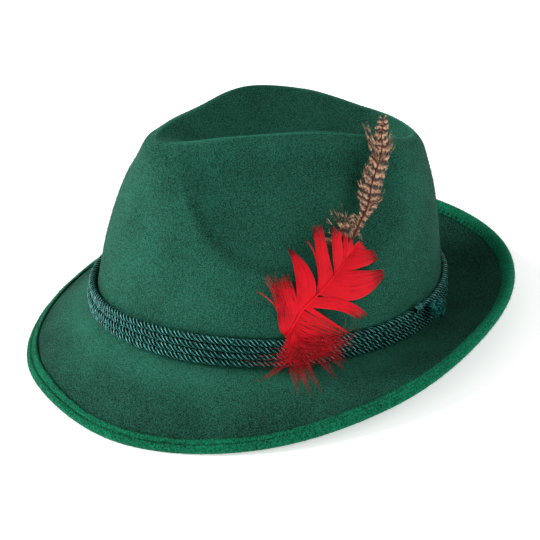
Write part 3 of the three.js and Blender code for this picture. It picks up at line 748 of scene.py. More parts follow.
@dataclass
class EdgeBinding:
    """The felt strip folded over the brim's edge, with its groove and its stitched pinches."""

    form: HatForm
    columns: int = 1080
    width: float = 7.6
    rise: float = 0.9
    groove_inset: float = 4.3
    groove_depth: float = 0.95
    widening: float = 3.0
    stitch_pitch: float = 3.9
    stitch_depth: float = 0.28

    def section(self) -> Array:
        """Inset and height off the felt's middle, round the strip's section."""
        form = self.form
        inner = form.felt / 2 + form.gap
        outer = inner + form.binding_felt
        lip = [(self.width, inner), (self.width + 0.1, inner + 0.3), (self.width - 0.15, inner + 0.75),
               (self.width - 0.7, outer - 0.2)]
        top = [(inset, outer) for inset in np.linspace(self.width - 1.3, outer + 0.2, 16)]
        arc = [(outer - outer * math.sin(turn), outer * math.cos(turn)) for turn in np.linspace(0, math.pi, 13)]
        under = [(inset, -outer) for inset in np.linspace(outer + 0.2, self.width - 1.3, 5)]
        foot = [(self.width - 0.3, -inner - 0.7), (self.width, -inner)]
        back = [(form.binding_felt, -inner), (form.binding_felt, inner)]
        return np.array(lip + top + arc + under + foot + back)

    def build(self, material: bpy.types.Material) -> bpy.types.Object:
        """The binding as one closed strip."""
        form = self.form
        angle = np.arange(self.columns) * 360.0 / self.columns
        section = self.section()
        inset = np.broadcast_to(section[:, 0], (self.columns, len(section))).copy()
        off = np.broadcast_to(section[:, 1], inset.shape).copy()
        edge = form.binding_point(angle, np.zeros(self.columns), np.zeros(self.columns))
        around = np.concatenate([[0], np.cumsum(np.linalg.norm(np.diff(edge, axis=0), axis=1))])
        turns = round(around[-1] / self.stitch_pitch)
        stitch = np.cos(2 * np.pi * turns * np.arange(self.columns) / self.columns)[:, None]
        wide = 0.45 * ripple(edge, 22.0)[:, None] + 0.2 * ripple(edge, 6.0, 3.0)[:, None]
        wide += self.widening * np.exp(-((((angle + 215.0) % 360.0 - 180.0) / 42.0) ** 2))[:, None]
        inset += np.clip((inset - 2.5) / 4.0, 0, 1) * wide
        top = off > form.felt / 2 + form.gap + 0.2
        front = np.clip(1 - wrapped(angle) / 75.0, 0, 1)[:, None] ** 0.5
        sunk = 0.45 + 0.55 * np.exp(-((((angle + 210.0) % 360.0 - 180.0) / 55.0) ** 2))[:, None]
        groove = np.exp(-(((inset - self.groove_inset - 0.3 * wide) / 0.5) ** 2)) * (0.20 + 0.80 * front * sunk)
        back = np.clip((wrapped(angle) - 120.0) / 30.0, 0, 1)[:, None]
        seam_and_painted_shade = np.exp(-(((inset - self.width + 1.6) / 0.9) ** 2)) * (0.35 + 0.65 * back)
        puff = 0.16 * ripple(np.repeat(edge[:, None], len(section), 1) + inset[..., None], 9.0, 9.0)
        sewn = seam_and_painted_shade * self.stitch_depth * (1 + stitch) * (1 + 0.8 * back)
        off += top * (puff - groove * self.groove_depth - sewn)
        angles = np.broadcast_to(angle[:, None], inset.shape)
        points = form.binding_point(angles, inset, off)
        faces = grid_faces(self.columns, len(section), True, True)
        # Painted shade in the groove, along the strip's inner edge and in the stitched pinches at the back, and a
        # painted highlight on the binding towards the back.
        near = np.clip((section[:, 0] - self.width + 0.8) / 0.7, 0, 1) * (section[:, 1] > 0)
        pinched = 0.7 * back * np.clip(stitch, 0, 1) * np.clip((inset - self.width + 3.4) / 1.5, 0, 1) * top
        bright = np.clip((wrapped(angle) - 80.0) / 40.0, 0, 1)[:, None] * np.ones(inset.shape)
        marks = {"pile": np.ones(inset.shape), "crest": 0.35 * bright,
                 "seam_and_painted_shade": np.maximum(np.maximum(0.6 * groove * top, 0.55 * near), pinched)}
        return merged(mesh_object("edge_binding", form.rest(points.reshape(-1, 3)), faces, material, marks=marks))


@dataclass
class CordBand:
    """Four rings of twisted cord, the knot in front of them and the cord's bound end."""

    form: HatForm
    rows: int = 4
    diameter: float = 3.9
    pitch: float = 4.2
    foot: float = 2.95
    strands: int = 4
    lay: float = 11.2
    steps_per_lay: int = 16
    squeeze: float = 0.30
    knot_angle: float = 125.5
    end_angle: float = 118.0

    def path(self, row: int, count: int) -> tuple[Array, Array]:
        """A ring's middle line and the way out from the crown along it."""
        form = self.form
        angle = np.arange(count) * 360.0 / count
        front = np.exp(-((((angle + 205.0) % 360.0 - 180.0) / 38.0) ** 2))
        pitch = self.pitch * (1 - self.squeeze * front)
        height = self.foot + row * pitch + 0.12 * np.sin(np.radians(angle * 5 + 70 * row))
        middle = form.beside(angle, height, self.diameter / 2 + 0.12 + 1.1 * front * (row % 2))
        return middle, form.outward(angle)

    def twist(self, middle: Array, out: Array, radius: float, lays: float, closed: bool,
              phase: float = 0.0) -> tuple[Array, Array, Array]:
        """Strands laid round a middle line.

        Args:
            middle: Points of the line.
            out: A vector off the line at each point.
            radius: The cord's radius.
            lays: Turns of the strands over the whole line.
            closed: Whether the line is a ring.
            phase: Where the twist starts, in radians.

        Returns:
            Vertices, faces and pattern places.
        """
        along = unit(np.roll(middle, -1, 0) - np.roll(middle, 1, 0)) if closed else unit(np.gradient(middle, axis=0))
        side = unit(np.cross(along, out))
        face = np.cross(side, along)
        strand = radius / (1 + 1 / math.sin(math.pi / self.strands))
        offset = radius - strand
        share = np.arange(len(middle)) / (len(middle) if closed else len(middle) - 1)
        turn = -2 * np.pi * lays * share[None] + phase + 2 * np.pi * np.arange(self.strands)[:, None] / self.strands
        ring = side[None] * np.cos(turn)[..., None] + face[None] * np.sin(turn)[..., None]
        paths = middle[None] + ring * offset
        return Tube(8, closed).build(paths, ring, np.full(paths.shape[:2], strand * 1.0))

    def ring(self, row: int, material: bpy.types.Material) -> bpy.types.Object:
        """One cord of the band."""
        rough, _ = self.path(row, 360)
        length = np.linalg.norm(np.roll(rough, -1, 0) - rough, axis=1).sum()
        lays = round(length / self.lay)
        middle, out = self.path(row, lays * self.steps_per_lay)
        verts, faces, uv = self.twist(middle, out, self.diameter / 2, lays, True, 1.3 * row)
        return mesh_object(f"cord_row_{row + 1}", self.form.rest(verts), faces, material, uv)

    def capped(self, middle: Array, out: Array, diameter: float, lay: float) -> tuple[Array, Array, Array]:
        """A free length of the cord, with its strands left open at the two ends."""
        length = np.linalg.norm(np.diff(middle, axis=0), axis=1).sum()
        return self.twist(middle, out, diameter / 2, length / lay, False)

    def knot(self, material: bpy.types.Material) -> bpy.types.Object:
        """The overhand knot and its loose tail."""
        form = self.form
        foot = form.beside(np.array([self.knot_angle]), self.foot + 2.55 * self.pitch, np.array([7.6]))[0]
        out = form.outward(np.array([self.knot_angle]))[0]
        across = np.array([-out[1], out[0], 0.0])
        turn = np.linspace(0, 2 * np.pi, 120)
        around = (np.sin(turn) + 2 * np.sin(2 * turn)) * 1.45
        upward = (np.cos(turn) - 2 * np.cos(2 * turn)) * 1.30
        off = -np.sin(3 * turn) * 1.5
        line = foot + across * around[:, None] + out * off[:, None] + np.array([0, 0, 1.0]) * upward[:, None]
        first = self.capped(line, np.broadcast_to(out, line.shape), 3.0, 6.0)
        share = np.linspace(0, 1, 40)[:, None]
        tail = foot + across * (2.0 + 4.5 * np.sin(share * 2.6)) + out * (0.8 + 0.6 * share)
        tail = tail + np.array([0, 0, 1.0]) * (0.5 - 6.5 * share)
        second = self.capped(tail, np.broadcast_to(out, tail.shape), 2.9, 6.0)
        verts, faces, uv = joined([first, second])
        return mesh_object("cord_knot", form.rest(verts), faces, material, uv)

    def bound_end(self, material: bpy.types.Material) -> bpy.types.Object:
        """The cord end that lies on the top row."""
        form = self.form
        angle = self.end_angle + np.linspace(-2.1, 2.1, 30)
        height = self.foot + 3 * self.pitch + self.diameter - 1.4
        line = form.beside(angle, height + 0.4 * np.sin(np.linspace(0, 3, 30)), np.full(30, 3.6))
        verts, faces, uv = self.capped(line, form.outward(angle), 3.8, 4.5)
        return mesh_object("cord_end_wrap", form.rest(verts), faces, material, uv)


@dataclass(frozen=True)
class Lock:
    """Barbs side by side from a stretch of the quill, between two bowed edges, in shares of the feather.

    first and last are places along the quill, mid and tip the middle and end of each edge as round and up.
    """

    first: float
    last: float
    first_mid: tuple[float, float]
    first_tip: tuple[float, float]
    last_mid: tuple[float, float]
    last_tip: tuple[float, float]
    barbs: int
    lift: float = 6.0
    fray: float = 0.06
    clumps: int = 3
    width: float = 0.7
    stray: float = 0.006


# The red quill in shares of the feather: round the crown, up it, and its lift in millimetres
RED_QUILL = np.array([[0.00, 0.00, 0.9], [0.105, 0.215, 3.6], [0.30, 0.37, 4.8], [0.51, 0.505, 5.0], [0.75, 0.635, 5.0]])
RED_LOCKS = [
    Lock(0.48, 0.66, (0.325, 0.60), (0.34, 0.82), (0.435, 0.63), (0.445, 0.82), 40, 6.4, 0.05, 2),
    Lock(0.68, 0.80, (0.49, 0.65), (0.52, 0.80), (0.59, 0.66), (0.61, 0.77), 30, 6.8, 0.05, 2),
    Lock(0.78, 0.93, (0.60, 0.65), (0.61, 0.77), (0.69, 0.62), (0.71, 0.68), 30, 6.6, 0.06, 2),
    Lock(0.90, 1.00, (0.74, 0.64), (0.78, 0.66), (0.78, 0.60), (0.81, 0.60), 16, 6.2, 0.12, 2),
    Lock(0.72, 0.97, (0.66, 0.485), (0.885, 0.505), (0.76, 0.60), (0.865, 0.575), 60, 7.2, 0.05, 2),
    Lock(0.46, 0.71, (0.60, 0.275), (0.89, 0.385), (0.66, 0.465), (0.905, 0.435), 90, 7.8, 0.05, 3),
    Lock(0.31, 0.42, (0.42, 0.220), (0.56, 0.125), (0.50, 0.275), (0.67, 0.145), 34, 8.2, 0.06, 2),
    Lock(0.10, 0.42, (0.10, 0.44), (0.07, 0.685), (0.240, 0.51), (0.11, 0.67), 64, 6.8, 0.05, 1),
    Lock(0.44, 0.45, (0.315, 0.57), (0.255, 0.73), (0.32, 0.57), (0.265, 0.72), 3, 5.6, 0.02, 1, 0.4),
    Lock(0.03, 0.24, (-0.06, 0.27), (-0.18, 0.50), (0.06, 0.36), (0.06, 0.50), 90, 5.4, 0.30, 7, 0.45, 0.02),
    Lock(0.03, 0.14, (-0.08, 0.20), (-0.15, 0.42), (0.00, 0.25), (-0.05, 0.44), 50, 5.0, 0.30, 5, 0.45, 0.02),
    Lock(0.00, 0.12, (-0.075, 0.08), (-0.09, 0.25), (0.02, 0.18), (0.01, 0.38), 60, 4.4, 0.20, 4, 0.5, 0.01),
    Lock(0.05, 0.06, (-0.12, 0.275), (-0.27, 0.38), (-0.12, 0.28), (-0.27, 0.385), 3, 4.8, 0.02, 1, 0.35, 0.003),
    Lock(0.29, 0.33, (0.34, 0.125), (0.49, 0.005), (0.35, 0.135), (0.50, 0.015), 8, 9.0, 0.04, 1, 0.5),
    Lock(0.13, 0.27, (0.27, 0.02), (0.48, -0.07), (0.31, 0.13), (0.47, 0.03), 34, 8.4, 0.30, 6, 0.36, 0.015),
    Lock(0.02, 0.16, (0.12, -0.06), (0.40, -0.13), (0.20, 0.05), (0.45, -0.03), 44, 7.6, 0.40, 6, 0.34, 0.02),
]

# Pointed wisps of down over the band: middle round and up, tip round and up, and how far out the tip reaches
WISPS = np.array([
    [0.00, -0.19, -0.25, -0.34, 0.23], [0.05, -0.21, 0.05, -0.40, 0.42], [0.11, -0.21, 0.14, -0.39, 0.42],
    [0.16, -0.20, 0.22, -0.37, 0.41], [0.26, -0.19, 0.35, -0.32, 0.31], [0.35, -0.17, 0.44, -0.30, 0.25],
    [0.38, -0.15, 0.49, -0.28, 0.16], [-0.02, -0.12, -0.06, -0.24, 0.10], [0.09, -0.20, 0.09, -0.33, 0.28],
])


@dataclass
class Sprig:
    """The red feather with its locks, its wisps of down and its fluff."""

    form: HatForm
    seed: int = 7
    foot_angle: float = 69.0
    foot_height: float = 20.0
    length: float = 64.0
    quill: float = 0.75
    wisp_hairs: int = 15
    fluff_hairs: int = 420

    def place(self, along: Array, up: Array, out: Array) -> Array:
        """Points beside the crown, by shares of the feather round it and up it from the foot."""
        height = self.foot_height + np.asarray(up) * self.length
        return self.form.beside(self.angle(along), height, np.asarray(out), self.form.feathers_span)

    def angle(self, along: Array) -> Array:
        """Degrees round the hat at a share of the feather round from its foot."""
        return self.foot_angle + np.degrees(np.asarray(along) * self.length / (self.form.head_length / 2))

    def quill_at(self, share: Array) -> Array:
        """Round, up and lift along the quill."""
        places = np.linspace(0, 1, len(RED_QUILL))
        return np.stack([through(places, RED_QUILL[:, k], share) for k in range(3)], -1)

    def lock(self, lock: Lock, chance: np.random.Generator) -> tuple[Array, Array, Array]:
        """The barbs of one lock, gathered into clumps at its tip."""
        steps = 11
        side = np.linspace(0, 1, lock.barbs)
        root = self.quill_at(lock.first + (lock.last - lock.first) * side)
        centre = (np.floor(side * lock.clumps * 0.999) + 0.5) / lock.clumps
        gathered = (side + (centre - side) * 0.45)[:, None]
        mid = np.array(lock.first_mid) + (np.array(lock.last_mid) - np.array(lock.first_mid)) * side[:, None]
        tip = np.array(lock.first_tip) + (np.array(lock.last_tip) - np.array(lock.first_tip)) * gathered
        mid = mid + chance.normal(0, lock.stray / 2, mid.shape)
        tip = tip + chance.normal(0, lock.stray, tip.shape)
        share = np.linspace(0, 1, steps)[None]
        run = share * (1 - lock.fray * chance.random(lock.barbs)[:, None] ** 1.4)
        curve = (2 * (run - 0.5) * (run - 1))[..., None] * root[:, None, :2]
        curve = curve + (4 * run * (1 - run))[..., None] * mid[:, None] + (2 * run * (run - 0.5))[..., None] * tip[:, None]
        lift = root[:, 2:3] + (lock.lift - root[:, 2:3]) * run**0.6
        lift = lift + (chance.normal(0, 0.10 + 3 * lock.stray, (lock.barbs, 1)) - 0.9 * (2 * side[:, None] - 1) ** 2) * run
        paths = self.place(curve[..., 0], curve[..., 1], lift)
        face = self.form.outward(self.angle(curve[..., 0])) + np.array([0, 0, 0.3])
        face = face + chance.normal(0, 0.05, (lock.barbs, 1, 3))
        taper = np.clip(1.3 - share, 0.1, 1) * (0.8 + 0.4 * chance.random((lock.barbs, 1)))
        verts, faces, uv = ribbons(paths, face, lock.width * taper)
        uv[:, 1] = np.repeat(chance.random(lock.barbs), steps * 2)
        return verts, faces, uv

    def wisp(self, row: Array, chance: np.random.Generator) -> tuple[Array, Array, Array]:
        """One wisp of down, from the foot over the band and out to a point over the brim."""
        count, steps = self.wisp_hairs, 13
        root = self.quill_at(0.12 * chance.random(count))
        mid = row[:2] + chance.normal(0, 0.022, (count, 2))
        tip = row[2:4] * 1.03 + chance.normal(0, 0.005, (count, 2))
        share = np.linspace(0, 1, steps)[None]
        run = share * (0.6 + 0.4 * chance.random((count, 1)) ** 0.3)
        curve = (2 * (run - 0.5) * (run - 1))[..., None] * root[:, None, :2]
        curve = curve + (4 * run * (1 - run))[..., None] * mid[:, None] + (2 * run * (run - 0.5))[..., None] * tip[:, None]
        over = 6.4 + 1.0 * chance.random((count, 1))
        first = root[:, 2:3] + (over - root[:, 2:3]) * np.minimum(run / 0.4, 1) ** 0.6
        out = first + np.maximum(row[4] * self.length - over, 0) * np.maximum((run - 0.5) / 0.5, 0) ** 1.2
        paths = self.place(curve[..., 0], curve[..., 1], out) + chance.normal(0, 0.05, (count, steps, 3))
        face = self.form.outward(self.angle(curve[..., 0])) + up_like(paths) * 0.8
        verts, faces, uv = ribbons(paths, face, 0.30 * np.clip(1.15 - share, 0.15, 1) + 0 * run)
        uv[:, 0] = 0.55 + 0.45 * uv[:, 0]
        uv[:, 1] = np.repeat(0.5 * chance.random(count), steps * 2)
        return verts, faces, uv

    def fluff(self, chance: np.random.Generator) -> tuple[Array, Array, Array]:
        """Fine short hairs over the band at the feather's foot."""
        count, steps = self.fluff_hairs, 6
        bearing = np.radians(-6 - 84 * chance.random((count, 1)))
        start = 0.08 + 0.26 * chance.random((count, 1))
        reach = 0.08 + 0.12 * chance.random((count, 1))
        share = np.linspace(0, 1, steps)[None]
        bend = bearing + chance.normal(0, 0.5, (count, 1)) * share
        far = start + reach * share
        along = far * np.cos(bend) * 1.25
        up = 0.02 + far * np.sin(bend) * 0.72
        out = 6.6 + 2.6 * chance.random((count, 1)) + 0.8 * share
        paths = self.place(along, up, out)
        face = self.form.outward(self.angle(along)) + chance.normal(0, 0.3, (count, 1, 3))
        verts, faces, uv = ribbons(paths, face, 0.16 * np.clip(1.2 - share, 0.2, 1) + 0 * along)
        uv[:, 0] = 0.80 + 0.20 * uv[:, 0]
        uv[:, 1] = np.repeat(0.6 * chance.random(count), steps * 2)
        return verts, faces, uv

    def red(self, material: bpy.types.Material) -> bpy.types.Object:
        """The red feather with its quill, locks and down."""
        chance = np.random.default_rng(self.seed)
        parts = [self.lock(lock, chance) for lock in RED_LOCKS]
        parts += [self.wisp(row, chance) for row in WISPS]
        parts.append(self.fluff(chance))
        share = np.linspace(-0.02, 1, 60)
        line = self.quill_at(share)
        path = self.place(line[:, 0], line[:, 1], line[:, 2] + 0.5)
        out = np.broadcast_to(self.form.outward(np.array([80.0]))[0], path.shape)
        verts, faces, uv = Tube(8).build(path[None], out[None], (self.quill * (1 - 0.8 * np.clip(share, 0, 1)))[None])
        parts.append((verts, faces, uv * 0.0 + 0.7))
        verts, faces, uv = joined(parts)
        return mesh_object("red_hackle", self.form.rest(verts), faces, material, uv)


# The speckled feather from its foot to its tip, in shares of its length: round, up, lift in millimetres,
# and the half widths of its vane towards the front and the back in millimetres.
SPECKLED = np.array([
    [-0.03, 0.02, 3.0, 0.4, 2.2],
    [0.06, 0.10, 3.4, 1.0, 2.8],
    [0.14, 0.16, 3.9, 3.6, 4.0],
    [0.20, 0.22, 4.4, 6.3, 6.3],
    [0.26, 0.30, 5.0, 7.0, 7.1],
    [0.35, 0.38, 5.6, 6.7, 6.9],
    [0.43, 0.46, 6.0, 5.4, 5.7],
    [0.475, 0.55, 6.3, 4.0, 4.0],
    [0.495, 0.65, 6.4, 3.6, 3.4],
    [0.495, 0.725, 6.4, 2.2, 1.8],
])

# Barbs that stand off the speckled feather: where they leave it, their middle and tip in the same shares, how many
STRAYS = np.array([
    [0.60, 0.36, 0.55, 0.27, 0.71, 12], [0.62, 0.38, 0.57, 0.31, 0.71, 10], [0.58, 0.34, 0.52, 0.31, 0.62, 6],
    [0.60, 0.54, 0.47, 0.64, 0.55, 9], [0.64, 0.56, 0.52, 0.61, 0.62, 9], [0.30, 0.32, 0.23, 0.40, 0.32, 5],
    [0.26, 0.28, 0.20, 0.38, 0.23, 4], [0.08, -0.01, 0.135, -0.07, 0.085, 9], [0.12, 0.01, 0.15, -0.09, 0.10, 9],
    [0.05, -0.04, 0.09, -0.07, 0.05, 8], [0.03, 0.03, 0.10, 0.09, 0.05, 10], [0.02, 0.02, 0.05, 0.06, 0.00, 10],
])


@dataclass
class SpeckledSprig:
    """The speckled feather and the open tuft at its foot."""

    form: HatForm
    seed: int = 11
    foot: tuple[float, float] = (97.0, 61.0)
    length: float = 78.0
    facing: float = 84.0
    barbs: int = 150
    barb_run: float = 0.11
    barb_width: float = 0.8
    cupping: float = 0.02
    rachis: float = 0.62
    tuft_root: tuple[float, float] = (94.3, 61.0)

    def column(self, which: int, share: Array) -> Array:
        """One column of the feather's table, read at shares of the way to its tip."""
        return through(np.linspace(0, 1, len(SPECKLED)), SPECKLED[:, which], share)

    def stem(self, share: Array) -> Array:
        """Points of the stem."""
        angle = self.foot[0] + np.degrees(self.column(0, share) * self.length / (self.form.head_length / 2))
        height = self.foot[1] + self.column(1, share) * self.length
        return self.form.beside(angle, height, self.column(2, share), self.form.feathers_span)

    def frame(self, share: Array) -> tuple[Array, Array, Array]:
        """Points of the stem with the vane's sideways direction and the way that it faces."""
        point = self.stem(share)
        along = unit(self.stem(share + 0.01) - self.stem(share - 0.01))
        face = self.form.outward(self.facing + 0 * share) + 0.25 * up_like(point)
        side = unit(np.cross(along, face))
        return point, side, unit(np.cross(side, along))

    def barb_side(self, sign: int, chance: np.random.Generator) -> tuple[Array, Array, Array]:
        """The barbs on one side of the stem."""
        steps = 8
        root = np.linspace(0.0, 0.95, self.barbs)[:, None] + chance.normal(0, 0.002, (self.barbs, 1))
        tip = np.minimum(root + self.barb_run * (0.9 + 0.2 * chance.random((self.barbs, 1))), 1.02)
        reach = self.column(3 if sign < 0 else 4, np.clip(tip, 0, 1)) * (0.88 + 0.16 * chance.random(root.shape))
        loose = chance.random(root.shape) < 0.07
        reach = reach * np.where(loose, 1.25, 1.0)
        run = np.linspace(0, 1, steps)[None]
        place = root + (tip - root) * run**1.1
        off = reach * run**0.85 + chance.normal(0, 0.12, root.shape) * run
        point, side, face = self.frame(place)
        points = point + side * (sign * off)[..., None] - face * (self.cupping * off**2)[..., None]
        points = points + face * (chance.normal(0, 0.06, root.shape) * run)[..., None]
        thin = np.where(root < 0.16, 0.45, 1.0)
        width = self.barb_width * thin * np.clip(1.35 - run, 0.3, 1)
        verts, faces, _ = ribbons(points, face + chance.normal(0, 0.04, root.shape + (3,)), width)
        places = np.stack([sign * off / 10, place * self.length / 10], -1)
        return verts, faces, np.repeat(places[:, :, None], 2, 2).reshape(-1, 2)

    def stray(self, row: Array, chance: np.random.Generator) -> tuple[Array, Array, Array]:
        """Loose barbs that bend off the stem to one place."""
        count, steps = int(row[5]), 10
        leave = row[0] + chance.normal(0, 0.015, (count, 1))
        root = np.concatenate([self.column(0, leave), self.column(1, leave)], 1)
        mid = row[1:3] + chance.normal(0, 0.010, (count, 2))
        tip = row[3:5] + chance.normal(0, 0.014, (count, 2))
        run = np.linspace(0, 1, steps)[None] * (0.75 + 0.25 * chance.random((count, 1)))
        curve = (2 * (run - 0.5) * (run - 1))[..., None] * root[:, None]
        curve = curve + (4 * run * (1 - run))[..., None] * mid[:, None] + (2 * run * (run - 0.5))[..., None] * tip[:, None]
        angle = self.foot[0] + np.degrees(curve[..., 0] * self.length / (self.form.head_length / 2))
        lift = self.column(2, leave) + 0.3 + chance.normal(0, 0.3, (count, 1)) * run
        height = self.foot[1] + curve[..., 1] * self.length
        paths = self.form.beside(angle, height, lift, self.form.feathers_span)
        face = self.form.outward(angle) + chance.normal(0, 0.2, (count, 1, 3))
        verts, faces, _ = ribbons(paths, face, 0.42 * np.clip(1.2 - run, 0.25, 1))
        places = np.stack([0.4 + 0.0 * run, chance.random((count, 1)) + run * 1.2], -1)
        return verts, faces, np.repeat(places[:, :, None], 2, 2).reshape(-1, 2)

    def vane(self, material: bpy.types.Material) -> bpy.types.Object:
        """The vane's barbs on both sides, with those that stand off it."""
        chance = np.random.default_rng(self.seed)
        sides = [self.barb_side(-1, chance), self.barb_side(1, chance)]
        verts, faces, uv = joined(sides + [self.stray(row, chance) for row in STRAYS])
        return mesh_object("speckled_vane", self.form.rest(verts), faces, material, uv)

    def rib(self, material: bpy.types.Material) -> bpy.types.Object:
        """The rusty rib up the middle."""
        share = np.linspace(-0.02, 0.97, 70)
        point, _, face = self.frame(share)
        radius = self.rachis * (1 - 0.75 * np.clip(share, 0, 1))
        verts, faces, uv = Tube(8).build((point + face * 0.25)[None], face[None], radius[None])
        return mesh_object("speckled_rib", self.form.rest(verts), faces, material, uv)

    def tuft(self, material: bpy.types.Material) -> bpy.types.Object:
        """The lacy barbs that fan out in front of the foot."""
        chance = np.random.default_rng(self.seed + 1)
        count, steps = 64, 12
        lean = np.radians(-88 + 100 * chance.random((count, 1)))
        reach = 7 + 17 * chance.random((count, 1)) ** 0.9
        run = np.linspace(0, 1, steps)[None]
        curl = chance.normal(0.0, 0.9, (count, 1))
        turn = lean + curl * (run - 0.3)
        along = np.cumsum(np.sin(turn) * reach / steps, 1) - 0.5 * chance.random((count, 1))
        up = np.cumsum(np.cos(turn) * reach / steps, 1) * 0.8
        lift = 2.4 + 1.5 * chance.random((count, 1)) + 0.8 * run
        angle = self.tuft_root[0] + np.degrees(along / (self.form.head_length / 2))
        paths = self.form.beside(angle, self.tuft_root[1] + up, lift, self.form.feathers_span)
        face = self.form.outward(angle) + chance.normal(0, 0.3, (count, 1, 3))
        width = 0.55 * np.clip(1.2 - run, 0.25, 1) + 0 * along
        verts, faces, _ = ribbons(paths, face, width)
        places = np.stack([along / 10, up / 10], -1)
        uv = np.repeat(places[:, :, None], 2, 2).reshape(-1, 2)
        return mesh_object("speckled_down", self.form.rest(verts), faces, material, uv)


@dataclass(frozen=True)
class SpeckleFinish:
    """Game-bird barbs: dark bars and pale spots that line up across the vane."""

    name: str
    dark: tuple
    middle: tuple
    pale: tuple

    def material(self) -> bpy.types.Material:
        """The material, on the vane's own pattern places."""
        made = bpy.data.materials.new(self.name)
        made.use_nodes = True
        made.node_tree.nodes.clear()
        lay = Nodes(made.node_tree)
        place = lay.add("ShaderNodeUVMap", uv_map="UVMap").outputs[0]
        apart = lay.add("ShaderNodeSeparateXYZ", {0: place})
        slant = lay.math("MULTIPLY_ADD", lay.math("ABSOLUTE", apart.outputs[0]), -0.35, apart.outputs[1])
        wobble = lay.add("ShaderNodeTexNoise", {"Vector": place, "Scale": 3.5, "Detail": 2.0})
        phase = lay.math("MULTIPLY_ADD", wobble.outputs[0], 0.45, slant)
        bars = lay.math("SINE", lay.math("MULTIPLY", phase, 2 * math.pi / 0.46))
        spots = lay.add("ShaderNodeTexNoise", {"Vector": place, "Scale": 7.0, "Detail": 2.0, "Roughness": 0.6})
        value = lay.math("MULTIPLY_ADD", bars, 0.17, spots.outputs[0])
        first = lay.mix(lay.ramp(value, 0.40, 0.50), self.dark, self.middle)
        shade = lay.mix(lay.ramp(value, 0.56, 0.72), first, self.pale)
        shader = lay.add("ShaderNodeBsdfPrincipled", {"Base Color": shade})
        shader.inputs["Roughness"].default_value = 0.6
        shader.inputs["Sheen Weight"].default_value = 0.1
        end = lay.add("ShaderNodeOutputMaterial")
        made.node_tree.links.new(shader.outputs[0], end.inputs[0])
        return made


@dataclass
class Fuzz:
    """Loose fibres standing on a felt surface, laid by geometry nodes."""

    count: int = 50000
    length: float = 1.5
    width: float = 0.06
    lean: float = 62.0
    seed: int = 3

    def tree(self) -> bpy.types.NodeTree:
        """The node tree that scatters the fibres."""
        tree = bpy.data.node_groups.new("felt_fibres", "GeometryNodeTree")
        face = tree.interface
        face.new_socket(name="Felt", in_out="INPUT", socket_type="NodeSocketGeometry")
        for name in ("Density", "Length", "Width", "Lean"):
            face.new_socket(name=name, in_out="INPUT", socket_type="NodeSocketFloat")
        face.new_socket(name="Seed", in_out="INPUT", socket_type="NodeSocketInt")
        face.new_socket(name="Fibre", in_out="INPUT", socket_type="NodeSocketMaterial")
        face.new_socket(name="Fibres", in_out="OUTPUT", socket_type="NodeSocketGeometry")
        lay = Nodes(tree)
        given = lay.add("NodeGroupInput").outputs
        pile = lay.add("GeometryNodeInputNamedAttribute", {"Name": "pile"}, data_type="FLOAT")
        thick = lay.math("MULTIPLY", given["Density"], pile.outputs["Attribute"])
        points = lay.add("GeometryNodeDistributePointsOnFaces", {"Mesh": given["Felt"], "Density": thick,
                                                                 "Seed": given["Seed"]})
        cone = lay.add("GeometryNodeMeshCone", {"Vertices": 3, "Radius Top": 0.0, "Radius Bottom": given["Width"],
                                                "Depth": given["Length"]}, fill_type="NONE")
        tip = lay.math("MULTIPLY", given["Lean"], -1.0)
        low = lay.add("ShaderNodeCombineXYZ", {0: tip, 1: tip, 2: 0.0})
        high = lay.add("ShaderNodeCombineXYZ", {0: given["Lean"], 1: given["Lean"], 2: 6.28})
        turn = lay.add("FunctionNodeRandomValue", {0: low.outputs[0], 1: high.outputs[0], "Seed": given["Seed"]},
                       data_type="FLOAT_VECTOR")
        euler = lay.add("FunctionNodeEulerToRotation", {0: turn.outputs[0]})
        whole = lay.add("FunctionNodeRotateRotation", {"Rotation": points.outputs["Rotation"],
                                                       "Rotate By": euler.outputs[0]}, rotation_space="LOCAL")
        size = lay.add("FunctionNodeRandomValue", {2: 0.4, 3: 1.2, "Seed": given["Seed"]}, data_type="FLOAT")
        placed = lay.add("GeometryNodeInstanceOnPoints", {"Points": points.outputs["Points"],
                                                          "Instance": cone.outputs["Mesh"],
                                                          "Rotation": whole.outputs[0], "Scale": size.outputs[1]})
        real = lay.add("GeometryNodeRealizeInstances", {0: placed.outputs[0]})
        dressed = lay.add("GeometryNodeSetMaterial", {"Geometry": real.outputs[0], "Material": given["Fibre"]})
        end = lay.add("NodeGroupOutput")
        tree.links.new(dressed.outputs[0], end.inputs[0])
        return tree

    def grow(self, felt: bpy.types.Object, name: str, tree: bpy.types.NodeTree,
             material: bpy.types.Material) -> bpy.types.Object:
        """Fibres as a plain mesh.

        Args:
            felt: The surface that they stand on, with its pile at every vertex.
            name: The new piece's name.
            tree: The shared node tree.
            material: The fibres' material.

        Returns:
            The new object.
        """
        host = felt.copy()
        host.data = felt.data.copy()
        bpy.context.collection.objects.link(host)
        pile = np.zeros(len(host.data.vertices))
        host.data.attributes["pile"].data.foreach_get("value", pile)
        corner = np.array([pile[list(face.vertices)].mean() * face.area for face in host.data.polygons]).sum()
        layer = host.modifiers.new("fibres", "NODES")
        layer.node_group = tree
        values = {"Density": self.count / corner, "Length": self.length * METRE, "Width": self.width * METRE,
                  "Lean": math.radians(self.lean), "Seed": self.seed, "Fibre": material}
        for item in tree.interface.items_tree:
            if item.name in values:
                layer[item.identifier] = values[item.name]
        graph = bpy.context.evaluated_depsgraph_get()
        mesh = bpy.data.meshes.new_from_object(host.evaluated_get(graph), depsgraph=graph)
        bpy.data.objects.remove(host)
        ends = np.zeros(len(mesh.vertices) * 3)
        mesh.vertices.foreach_get("co", ends)
        ends[2::3] = np.maximum(ends[2::3], 0.0)
        mesh.vertices.foreach_set("co", ends)
        thing = bpy.data.objects.new(name, mesh)
        bpy.context.collection.objects.link(thing)
        return thing


